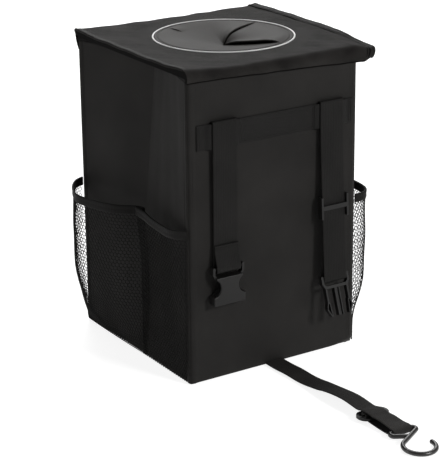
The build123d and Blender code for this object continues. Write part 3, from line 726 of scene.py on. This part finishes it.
floor_line = smooth_line("floor_line", floor_place([(0, out, z) for out, z in FLOOR_ROUTE]))
floor_aside = (cos(FLOOR_YAW), sin(FLOOR_YAW), 0)
floor_strap = ribbon(floor_line, floor_aside, FLOOR_WIDTH, FLOOR_THICKNESS, FLOOR_RIBS, FLAT_RELIEF,
                     floor_twist)
floor_strap = floor_strap.make("floor_strap_elastic", ELASTIC, "elastic", ["floor_strap"], "bin")


# Stitches


class Stitches(Piece):
    """Rows of sewn thread, each stitch a small rounded grain on the cloth."""

    def row(self, line, normals, pitch=3.0, length=2.2, width=0.75, height=0.45):
        line = np.asarray(line, float)
        normals = np.broadcast_to(np.asarray(normals, float), line.shape)
        way = way_along(line)
        size = np.array([0.35, 1, 1, 0.35])[:, None]
        for start in np.arange(0.3, way[-1] - length, pitch):
            at = start + np.array([0, 0.2, 0.8, 1]) * length
            middle = points_along(line, way, at)
            normal = unit(points_along(normals, way, at))
            along = unit(np.gradient(middle, axis=0))
            aside = unit(np.cross(along, normal))
            root = middle - normal * STITCH_SINK
            rings = np.stack([root + aside * size * width / 2, root + normal * size * height,
                              root - aside * size * width / 2, root - normal * size * 0.1], axis=1)
            numbers = self.add(rings)
            loop = np.concatenate([numbers, numbers[:, :1]], axis=1)
            self.quads(loop, np.arange(5)[None] * 0.5, at[:, None], flip=True)
            self.face(numbers[0], rings[0][:, :2])
            self.face(numbers[-1][::-1], rings[-1][::-1, :2])


bin_stitches = Stitches()
lid_stitches = Stitches()


# Shell, lining and rim


def body_ring(z, inset_x=0.0, inset_y=0.0):
    """Plan of the box at a height, its six corners rounded, as points in their order."""
    x = HALF_WIDTH - inset_x
    y = HALF_DEPTH - inset_y
    crease = CREASE_FOOT + (CREASE_TOP - CREASE_FOOT) * z / WALL_TOP
    waist = x - crease
    corners = np.array([(-x, -y), (x, -y), (waist, 0), (x, y), (-x, y), (-waist, 0)])
    arcs = []
    for i, corner in enumerate(corners):
        before = unit(corners[i - 1] - corner)
        after = unit(corners[(i + 1) % 6] - corner)
        half = acos(np.clip(before @ after, -1, 1)) / 2
        middle = corner + unit(before + after) * CORNER_ROUND[i] / sin(half)
        start = corner + before * CORNER_ROUND[i] / tan(half) - middle
        turn = pi - 2 * half
        if before[0] * after[1] - before[1] * after[0] > 0:
            turn = -turn
        angles = np.linspace(0, turn, CORNER_STEPS + 1)
        arcs.append(middle + np.stack([start[0] * np.cos(angles) - start[1] * np.sin(angles),
                                       start[0] * np.sin(angles) + start[1] * np.cos(angles)], axis=1))
    sides = []
    for i in range(6):
        start = arcs[i][-1]
        end = arcs[(i + 1) % 6][0]
        sides += [arcs[i], start + STOPS[i][:, None] * (end - start)]
    plan = np.concatenate(sides)
    return points_at(plan[:, 0], plan[:, 1], z)


def outward(ring):
    along = np.roll(ring, -1, axis=0) - np.roll(ring, 1, axis=0)
    return unit(points_at(along[:, 1], -along[:, 0], 0))


def shell_ring(z, sunk=0.0):
    """Outer face of the shell at a height, with seam borders, soft folds and a rounded foot."""
    ring = body_ring(z)
    out = outward(ring)
    x, y = ring[:, 0], ring[:, 1]
    flat = np.abs(np.abs(y) - HALF_DEPTH) < 0.5
    border = np.where(flat, FLAT_BORDER_RISE * smooth(np.abs(x), *FLAT_BORDER),
                      SIDE_BORDER_RISE * smooth(np.abs(y), *SIDE_BORDER))
    border = border - np.where(flat, 0, SEAM_DEPTH * np.exp(-((np.abs(y) - SEAM_AT) / SEAM_SPREAD) ** 2))
    corner = np.hypot(np.abs(x) - HALF_WIDTH, np.abs(y) - HALF_DEPTH)
    border = border - CORNER_SINK * smooth(corner, *CORNER_SINK_RUN)
    panel = np.clip(1 - np.abs(2 * np.abs(y) / HALF_DEPTH - 1), 0, 1)
    soft = SIDE_FOLDS * ripple(y + 3 * x, z * 0.6, 60, 5) * smooth(panel, 0, 0.5)
    folds = np.where(flat, FLAT_FOLDS + FLAT_FOLDS * ripple(x, z, 70, 3), soft)
    from_right = np.hypot(x - HALF_WIDTH, y + HALF_DEPTH)
    round_foot = FOOT_ROUND + RIGHT_FOOT_ROUND * np.exp(-(from_right / RIGHT_FOOT_REACH) ** 2)
    lift = np.clip(round_foot - z, 0, None)
    foot = round_foot - np.sqrt(np.maximum(round_foot ** 2 - lift ** 2, 0))
    return ring + out * (border + folds * smooth(z, 0, 12) - foot - sunk)[:, None]


def make_shell():
    heights = np.concatenate([FOOT_LEVELS, np.linspace(12, WALL_TOP, 76)])
    outer = [shell_ring(z) for z in heights]
    inner = [shell_ring(max(z, SHELL_CLOTH), SHELL_CLOTH) for z in heights[::-1]]
    closed_piece(outer + inner).make("shell_cloth", SHELL_FABRIC, "shell_fabric", ["outer_shell"], "bin")
    upright = np.linspace(*BORDER_STITCH_RUN, 100)
    out = HALF_DEPTH + FLAT_BORDER_RISE + FLAT_FOLDS
    for x in (-BORDER_STITCHES, BORDER_STITCHES):
        for side in (-1, 1):
            bin_stitches.row(points_at(x, side * out, upright), (0, side, 0))


def make_liner():
    heights = np.linspace(LINER_LOW, WALL_TOP, 40)
    outer = [body_ring(z, *LINER_INSET) for z in heights]
    inner = []
    for z in heights[::-1]:
        ring = body_ring(max(z, LINER_LOW + LINER_CLOTH), *(LINER_INSET + LINER_CLOTH))
        wave = 0.5 + 0.5 * ripple(ring[:, 0] + ring[:, 1], z, 80, 11)
        inner.append(ring - outward(ring) * (LINER_FOLDS * wave * smooth(WALL_TOP - z, 4, 30))[:, None])
    closed_piece(outer + inner).make("lining_bag", LINING, "lining", ["liner"], "bin")


def make_rim():
    """Tape over the top edge, which hangs lower at the front, behind the closure."""
    rings = [body_ring(z, inset, inset * 1.3 if inset > 0 else inset) for inset, z in RIM_SECTION]
    for ring in rings:
        low_front = smooth(ring[:, 1], HALF_DEPTH - 3, HALF_DEPTH) * smooth(np.abs(ring[:, 0]), *RIM_FRONT)
        ring[:, 2] += np.clip(RIM_LOW - ring[:, 2], 0, None) * (1 - low_front)
    piece = Piece()
    piece.tube(rings, wrap_rows=True)
    # The rim's tape is given the darker net tape, partly its own dark colour and partly painted shade
    # under the lid's edge
    piece.make("rim_tape", NET_TAPE, "binding_tape", ["rim_binding"], "bin")


make_shell()
make_liner()
make_rim()


# Lid


def lid_lift(x, y):
    """How far the soft lid stands above its board, or droops below it."""
    left = LEFT_RISE * smooth(-x, 60, HALF_WIDTH)
    left = left + LEFT_CORNER_RISE * smooth(-x, 20, HALF_WIDTH) * smooth(-y, 40, HALF_DEPTH)
    right = RIGHT_RISE * smooth(x, 85, 118)
    right = right + RIGHT_CORNER_RISE * smooth(x, 60, LID_RIGHT) * smooth(y, 10, HALF_DEPTH)
    front = (FRONT_RISE + FRONT_LEFT_RISE * smooth(-x, 0, 60)) * smooth(y, 70, 104)
    droop = STRAP_DROOP * smooth(x, 95, LID_RIGHT) * smooth(-y, 30, HALF_DEPTH)
    droop = droop + FRONT_DROOP * smooth(x, 80, 118) * smooth(y, 55, HALF_DEPTH)
    from_disc = np.hypot(x - DISC[0], y - DISC[1])
    soft = 0.4 + 0.4 * ripple(x, y, 55, 21) + 0.3 * ripple(x, y, 22, 22)
    lip = RING_LIP * smooth(from_disc, *RING_LIP_RUN)
    return (left + right + front - droop + soft) * smooth(from_disc, 74, 96) + lip


def skirt_low(x):
    """Lower edge of the skirt over the strap side."""
    rise = SKIRT_END_RISE * smooth(x, SKIRT_AT[-1], LID_RIGHT)
    return np.interp(x, SKIRT_AT, SKIRT_LOW) + rise + 0.4 * ripple(x, 0 * x, 45, 31)


def front_low(x):
    """Lower edge of the front skirt, whose two corners are round."""
    away = np.clip(SKIRT_CORNER - np.minimum(x - LID_LEFT, LID_RIGHT - x), 0, SKIRT_CORNER)
    return FRONT_SKIRT + SKIRT_CORNER - np.sqrt(SKIRT_CORNER ** 2 - away ** 2)


def lid_profile(x):
    """Outer and inner faces of the lid along one line from the strap side to the front."""
    top = LID_TOP + lid_lift(x, np.array(LID_SKIRT + STRAP_ROLL))
    low = skirt_low(np.array(x))
    roll = min(STRAP_ROLL, 0.7 * (top - low))
    outer = []
    inner = []
    belly = SKIRT_BELLY + 0.5 * ripple(np.array(x), np.array(0.0), 40, 33)
    for share in np.linspace(0, 1, 6)[:-1]:
        z = low + share * (top - roll - low)
        outer.append((LID_SKIRT + SKIRT_TUCK * (1 - share) - belly * sin(pi * share), z))
        inner.append((LID_SKIRT + SKIRT_CLOTH, z))
    inside = min(RIM_CLEAR, top - LID_LEAST)
    for share in np.linspace(0, 1, 10):
        angle = share * pi / 2
        outer.append((LID_SKIRT + roll * (1 - cos(angle)), top - roll * (1 - sin(angle))))
        inner.append((LID_SKIRT + SKIRT_CLOTH + (roll - SKIRT_CLOTH) * max(2 * share - 1, 0),
                      top - roll + (inside - top + roll) * min(2 * share, 1)))
    for y in np.linspace(LID_SKIRT + roll, LID_FRONT - FRONT_ROLL, 106)[1:-1]:
        z = LID_TOP + lid_lift(x, y)
        outer.append((y, z))
        inner.append((y, min(LID_TOP - LID_THICKNESS, z - LID_LEAST)))
    top = LID_TOP + lid_lift(x, np.array(LID_FRONT - FRONT_ROLL))
    for angle in np.linspace(0, pi / 2, 6):
        y = LID_FRONT - FRONT_ROLL * (1 - sin(angle))
        z = top - FRONT_ROLL * (1 - cos(angle))
        thick = LID_CLOTH + (LID_THICKNESS - LID_CLOTH) * smooth(-angle, -0.9, 0)
        outer.append((y, z))
        inner.append((y - thick * sin(angle), z - thick * cos(angle)))
    for share in np.linspace(0, 1, 9)[1:]:
        z = top - FRONT_ROLL + share * (front_low(x) - top + FRONT_ROLL)
        tuck = FRONT_TUCK * share * smooth(abs(x - FRONT_MIDDLE), *FRONT_TUCK_RUN)
        outer.append((LID_FRONT + SKIRT_BELLY * sin(pi * share) - tuck, z))
        inner.append((LID_FRONT - LID_CLOTH - tuck, z))
    return np.array(outer, float), np.array(inner, float)


def lid_sheets():
    """Grids of points of the lid's outer and inner faces, a row for each of the lid's places."""
    sheets = []
    for x in LID_PLACES:
        sheets.append([points_at(x, face[:, 0], face[:, 1]) for face in lid_profile(x)])
    sheets = np.array(sheets)
    lean = np.clip(LEAN_BELOW - sheets[..., 2], 0, None) * smooth(sheets[..., 0], 98, LID_RIGHT)
    sheets[..., 0] -= SKIRT_LEAN * lean * (sheets[..., 1] < 0)
    return sheets[:, 0], sheets[:, 1]


def cut_hole(outer, inner):
    """Moves the points beside the disc onto the hole's edge, and says which faces stay."""
    from_disc = outer[..., :2] - DISC
    reach = np.linalg.norm(from_disc, axis=2)
    middle = (from_disc[:-1, :-1] + from_disc[1:, :-1] + from_disc[:-1, 1:] + from_disc[1:, 1:]) / 4
    keep = np.linalg.norm(middle, axis=2) > HOLE
    used = np.zeros(reach.shape, bool)
    gone = np.zeros(reach.shape, bool)
    for i in (0, 1):
        for j in (0, 1):
            part = (slice(i, i + keep.shape[0]), slice(j, j + keep.shape[1]))
            used[part] |= keep
            gone[part] |= ~keep
    edge = used & gone
    for sheet in (outer, inner):
        sheet[edge, :2] = DISC + from_disc[edge] * (HOLE / reach[edge])[:, None]
    return keep


def make_lid_edges(faces, outer, inner):
    """Cut edges between the lid's two faces in near-black cloth, painted shade under the lid's edges, and
    a near-black cord along the lower edge of the skirt over the strap side, a painted shadow line under
    it.
    """
    sides = set()
    for face in faces:
        sides.update(zip(face, face[1:] + face[:1]))
    upper = outer.reshape(-1, 3)
    lower = inner.reshape(-1, 3)
    piece = Piece()
    for start, end in sorted(sides):
        if (end, start) not in sides:
            corners = piece.add([upper[start], lower[start], lower[end], upper[end]])
            piece.face(corners, ((0, 0), (0, 2), (2, 2), (2, 0)))
    # Dark cord along the skirt's lower edge: a painted shadow line under the skirt
    turns = np.linspace(0, 2 * pi, 9)[:-1]
    around = SHADOW_CORD * points_at(0, np.cos(turns), np.sin(turns))
    piece.closed_tube(outer[:, :1] + around)
    made = piece.make("lid_edges", PAINTED_EDGE_SHADE, "binding_tape")
    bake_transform(made)


def make_lid():
    """Cloth of the lid; returns the points of its outer face."""
    outer, inner = lid_sheets()
    keep = cut_hole(outer, inner)
    piece = Piece()
    above = piece.add(outer)
    below = piece.add(inner)
    u = LID_PLACES[:, None]
    v = way_along(outer[LID_MIDDLE])[None]
    piece.quads(above, u, v, flip=True, keep=keep)
    make_lid_edges(piece.faces, outer, inner)
    piece.quads(below, u, v, keep=keep)
    piece.drop_spare()
    made = piece.make("lid_cloth", LID_FABRIC, "shell_fabric", ["lid_cover", "hinge_strip"])
    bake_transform(made)
    return outer


def lid_normals(line):
    return np.cross((1, 0, 0), unit(np.gradient(line, axis=0)))


def edge_tape(name, edge, run, taper, section, material, replaces):
    """Tape along a run of a side edge's points, tapered over some of the first and of the last."""
    side = np.sign(edge[0, 0])
    normal = lid_normals(edge)[slice(*run)]
    edge = edge[slice(*run)]
    count = np.arange(len(edge))
    size = smooth(count, -1, taper[0]) * smooth(count[::-1], -1, taper[1])
    section = np.array(section, float)
    rings = section[None, :, :1] * np.array([side, 0, 0]) + section[None, :, 1:] * normal[:, None]
    rings = edge[:, None] + rings * size[:, None, None]
    if side < 0:
        rings = rings[:, ::-1]
    made = closed_piece(rings).make(name, material, "binding_tape", replaces)
    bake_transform(made)


lid = make_lid()
left_edge = lid[0]
right_edge = lid[-1]
edge_tape("lid_tape_left", left_edge, LEFT_RUN, LEFT_TAPER, LEFT_TAPE, TAPE, ["lid_binding_left"])
edge_tape("lid_tape_right", right_edge, (0, None), (0, 0), RIGHT_TAPE, EDGE_TAPE, ["lid_binding_right"])

tape_seam = right_edge - np.array([TAPE_SEAM_IN, 0, 0]) + lid_normals(right_edge) * TAPE_SEAM_UP
lid_stitches.row(tape_seam, lid_normals(right_edge))
front_seam = lid[4:-6, -3] + np.array([0, 0.1, 0])
lid_stitches.row(front_seam, (0, 1, 0))


# Disc


def make_ring():
    angle = np.linspace(0, 2 * pi, 181)[:-1, None]
    radius, z = np.transpose(RING_SECTION)
    rings = points_at(DISC[0] + radius * np.cos(angle), DISC[1] + radius * np.sin(angle), z)
    piece = Piece()
    piece.tube(rings, wrap_rows=True)
    piece.make("disc_ring", RING_PLASTIC, "ring_plastic", ["trim_ring"], "lid")


def cone(radius):
    """Drop of a petal edge that hangs evenly from the rim to the middle."""
    return PETAL_SAG * (1 - np.clip(radius / SLIT_REACH, 0, 1)) ** 1.1


def curl(radius):
    """Drop of a petal edge that stays up and only dips near the middle."""
    return PETAL_SAG * np.exp(-radius / PETAL_CURL)


def petal_drop(quarter, turn, radius):
    """How far a petal hangs below the rim; turn goes from 0 to 1 between its two edges."""
    first = cone(radius)
    last = cone(radius)
    spread = 1.0
    lip = 0
    if quarter == 0:
        first = curl(radius) - FAR_PETAL_RAISE * swell(radius, 2, SLIT_REACH) ** 0.5
        spread = 0.55
        lip = FAR_PETAL_LIP * swell(radius, 50, SLIT_REACH) * smooth(turn, 0.8, 1)
    if quarter == 2:
        last = cone(radius) + NEAR_PETAL_DIP * swell(radius, 3, SLIT_REACH)
    if quarter == 3:
        first = np.interp(radius, LIFTED_AT, LIFTED_DROP)
        last = curl(radius)
    return first - lip + (last - first) * smooth(turn, 0, spread)


def petal_place(quarter, turn, radius, lower):
    """Point of a petal; its edges keep half a slit from the cut lines."""
    start = radians(SLIT_START + 90 * quarter)
    gaps = []
    for width, run in (SLITS[quarter], SLITS[(quarter + 1) % 4]):
        gaps.append(width / 2 * smooth(SLIT_REACH - radius, 0, run))
    along = np.maximum(radius * np.cos(turn * pi / 2), gaps[1])
    across = np.maximum(radius * np.sin(turn * pi / 2), gaps[0])
    groove = GROOVE_DEPTH * (np.abs(radius - GROOVE) < 0.8)
    height = RUBBER_TOP - petal_drop(quarter, turn, radius) * (radius < SLIT_REACH) - groove - lower
    x = DISC[0] + along * cos(start) - across * sin(start)
    y = DISC[1] + along * sin(start) + across * cos(start)
    return points_at(x, y, height)


def make_disc():
    piece = Piece()
    radii = np.concatenate([np.linspace(0, SLIT_REACH, 48), FLANGE])
    turns = np.linspace(0, 1, 41)
    turn, radius = np.meshgrid(turns, radii, indexing="ij")
    ends = np.array([[0.0], [1.0]])
    for quarter in range(4):
        upper = petal_place(quarter, turn, radius, 0)
        lower = petal_place(quarter, turn, radius, RUBBER)
        above = piece.add(upper)
        below = piece.add(lower)
        u = upper[..., 0]
        v = upper[..., 1]
        piece.quads(above, u, v)
        piece.quads(below, u, v, flip=True)
        for side in (0, -1):
            wall = piece.add(np.stack([upper[side], lower[side]]))
            piece.quads(wall, ends, radii[None], flip=side != 0)
        rim = np.stack([above[:, -1], below[:, -1]])
        piece.quads(rim, ends, 100 * turns[None], flip=True)
    piece.make("disc_rubber", RUBBER_SKIN, "rubber", ["flap_diaphragm"], "lid")


make_ring()
make_disc()


# Pockets


class Belly:
    """Net panel of the right side, which stands out from the wall as a soft belly."""

    side = 1

    def __init__(self, start, end):
        self.middle = (start + end) / 2
        self.half = (end - start) / 2
        self.angles = np.linspace(0, pi, 400)
        self.way = way_along(self.plan(self.angles, BELLY_LEVEL))
        self.length = self.way[-1]

    def plan(self, angle, z):
        out = BULGE * np.interp(z, LEVELS, RIGHT_SHARES)
        y = self.middle - self.half * np.sign(np.cos(angle)) * np.abs(np.cos(angle)) ** (2 / BELLY_POWER)
        x = HALF_WIDTH + NET_OUT + out * np.abs(np.sin(angle)) ** (2 / BELLY_POWER)
        return np.stack([x, y], axis=-1)

    def at(self, u, z):
        plan = self.plan(np.interp(u, self.way, self.angles), z)
        soft = ripple(u, z, 55, 41) * 0.7 * smooth(z, 5, 40)
        return points_at(plan[..., 0] + soft, plan[..., 1], z)


class Draped:
    """Net panel of the left side, whose mouth lies near the wall, has a pleat and then stands out."""

    side = -1

    def __init__(self, mouth, body):
        self.mouth = smooth_line("mouth", [(x, y, 0) for x, y in mouth])[:, :2]
        self.body = smooth_line("body", [(x, y, 0) for x, y in body])[:, :2]
        self.way = way_along(self.mouth)
        self.length = self.way[-1]

    def at(self, u, z):
        upper = points_along(self.mouth, self.way, u)
        lower = points_along(self.body, self.way, u)
        plan = lower + (upper - lower) * smooth(z, *MOUTH_DRAPE)[..., None]
        out = (-plan[..., 0] - HALF_WIDTH) * np.interp(z, LEVELS, LEFT_SHARES)
        soft = ripple(plan[..., 1], z, 45, 41) * 0.8 * smooth(z, 5, 40) * smooth(out, 0, 6)
        dip = MOUTH_DIP * swell(plan[..., 1], *MOUTH_DIP_SPAN) * smooth(z, 90, 150)
        return points_at(-HALF_WIDTH - out - soft, plan[..., 1], z - dip)


def net_cells(length):
    """Corner places of a net of six-sided cells this long, and the corners' numbers of each cell."""
    row = NET_PITCH * sin(pi / 3)
    radius = NET_PITCH / 2 / cos(pi / 6)
    found = {}
    places = []
    cells = []
    for j in range(int((NET_HIGH - NET_LOW) / row)):
        for i in range(int(length / NET_PITCH) - 1):
            u = (i + 0.75 + 0.5 * (j % 2)) * NET_PITCH
            z = NET_LOW + (j + 0.6) * row
            cell = []
            for k in range(6):
                place = (u + radius * sin(k * pi / 3), z + radius * cos(k * pi / 3))
                key = (round(place[0] * NET_GRID), round(place[1] * NET_GRID))
                if key not in found:
                    found[key] = len(places)
                    places.append(place)
                cell.append(found[key])
            cells.append(cell)
    return np.array(places), cells


def make_net(name, panels, replaces):
    piece = Piece()
    for panel in panels:
        places, cells = net_cells(panel.length)
        numbers = piece.add(panel.at(places[:, 0], places[:, 1]))
        for cell in cells:
            piece.face(numbers[cell], places[cell])
    made = piece.make(name, NET, "mesh", replaces)
    strands = made.modifiers.new("strands", "WIREFRAME")
    strands.thickness = NET_STRAND
    strands.use_even_offset = False
    strands.use_boundary = True
    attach(made, "bin")


def add_mouth_tape(piece, panel):
    """Gathered tape along a panel's mouth."""
    end = panel.length - TAPE_START
    u = np.linspace(TAPE_START, end, int((end - TAPE_START) / TAPE_STEP))
    rings = []
    for away, z in MOUTH_TAPE:
        line = panel.at(u, z)
        out = panel.side * unit(points_at(np.gradient(line[:, 1]), -np.gradient(line[:, 0]), 0))
        wave = GATHER * np.sin(2 * pi * u / GATHER_PITCH) * (away > 0)
        rings.append(line + out * (away + wave)[:, None])
    rings = np.array(rings).transpose(1, 0, 2)
    if panel.side < 0:
        rings = rings[:, ::-1]
    piece.closed_tube(rings)


left_panels = (Draped(MOUTH_PLAN, BODY_PLAN),)
right_panels = (Belly(-POCKET_END, 1), Belly(-1, POCKET_END))
for side, panels in (("left", left_panels), ("right", right_panels)):
    make_net("net_" + side, panels, ["pocket_" + side])
    tapes = Piece()
    for panel in panels:
        add_mouth_tape(tapes, panel)
    tapes.make("net_tape_" + side, NET_TAPE, "binding_tape", ["pocket_binding_" + side], "bin")


# Band across the strap side


def band_out(x):
    raised = 0
    for middle in (SOCKET_X, PLUG_X):
        raised = raised + smooth(np.abs(x - middle), *BAND_RAISE_RUN)
    return HALF_DEPTH + BAND_OUT + BAND_RAISE * raised


def make_band():
    x = np.linspace(BAND_LEFT, BAND_RIGHT, 200)
    line = points_at(x, -band_out(x), (BAND_LOW + BAND_HIGH) / 2)
    piece = ribbon(line, (0, 0, 1), BAND_HIGH - BAND_LOW, BAND_THICKNESS, BAND_RIBS, FLAT_RELIEF)
    piece.make("band_webbing", WEBBING, "webbing", ["strap_band"], "bin")
    between = (x > BAND_ROW[0]) & (x < BAND_ROW[1])
    for z in (BAND_LOW + BAND_ROW_IN, BAND_HIGH - BAND_ROW_IN):
        row = points_at(x, -band_out(x) - BAND_THICKNESS / 2, z)
        bin_stitches.row(row[between], (0, -1, 0))
    upright = np.linspace(BAND_LOW + BAND_BAR_IN, BAND_HIGH - BAND_BAR_IN, 12)
    for bar in BAND_BARS:
        row = points_at(bar, -band_out(bar) - BAND_THICKNESS / 2, upright)
        bin_stitches.row(row, (0, -1, 0), pitch=1.3, length=1.2, width=1.5)


make_band()


# Closure strips


def make_closure(name, node, way, body):
    """Flat strip of hook-and-loop tape with rounded corners; way is the side its pile looks to."""
    low, high = node_box(node)
    face = low[1] if way > 0 else high[1]
    left, bottom = low[[0, 2]] + CLOSURE_CORNER
    right, top = high[[0, 2]] - CLOSURE_CORNER
    corners = []
    for x, z, turn in ((right, top, 0), (left, top, 90), (left, bottom, 180), (right, bottom, 270)):
        for angle in np.radians(turn + np.linspace(0, 90, 5)):
            corners.append((x + CLOSURE_CORNER * cos(angle), z + CLOSURE_CORNER * sin(angle)))
    corners = np.array(corners)
    middle = np.array([left + right, bottom + top]) / 2
    rings = []
    for depth, shrink in CLOSURE_SECTION:
        plan = corners - np.sign(corners - middle) * shrink
        rings.append(points_at(plan[:, 0], face + way * depth, plan[:, 1]))
    if way > 0:
        rings = [ring[::-1] for ring in rings]
    closed_piece(rings).make(name, PILE, "closure_tape", [node], body)


make_closure("closure_loops", "loop_strip", 1, "bin")
make_closure("closure_hooks", "hook_strip", -1, "lid")


# Sewn end of the socket's strap, and all stitches


def sew_strap_end():
    """Two rows of stitches across the strap, and ticks between them."""
    out = -HALF_DEPTH - SEWN_OUT
    x = np.linspace(SOCKET_X - SEWN_HALF, SOCKET_X + SEWN_HALF, 20)
    for z in SEWN_ROWS:
        bin_stitches.row(points_at(x, out, z), (0, -1, 0), pitch=2.0, length=1.7, width=0.9)
    for tick in np.linspace(SOCKET_X - TICKS_HALF, SOCKET_X + TICKS_HALF, 14):
        bin_stitches.row(points_at(tick, out, SEWN_TICKS), (0, -1, 0), pitch=5.0, length=2.4, width=0.8)


sew_strap_end()
bin_stitches.make("stitches_bin", THREAD, "binding_tape", body="bin")
sewn = lid_stitches.make("stitches_lid", THREAD, "binding_tape")
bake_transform(sewn)


# Rigid nodes

for material, names in (
    (BUCKLE_PLASTIC, ("buckle_socket", "buckle_plug", "strap_adjuster", "floor_slider")),
    (HOOK_COAT, ("hook",)),
    (BOARD, ("base_board", "strap_side_board", "front_board", "lid_board")),
):
    for name in names:
        skins = nodes[name].data.materials
        skins.clear()
        skins.append(material)
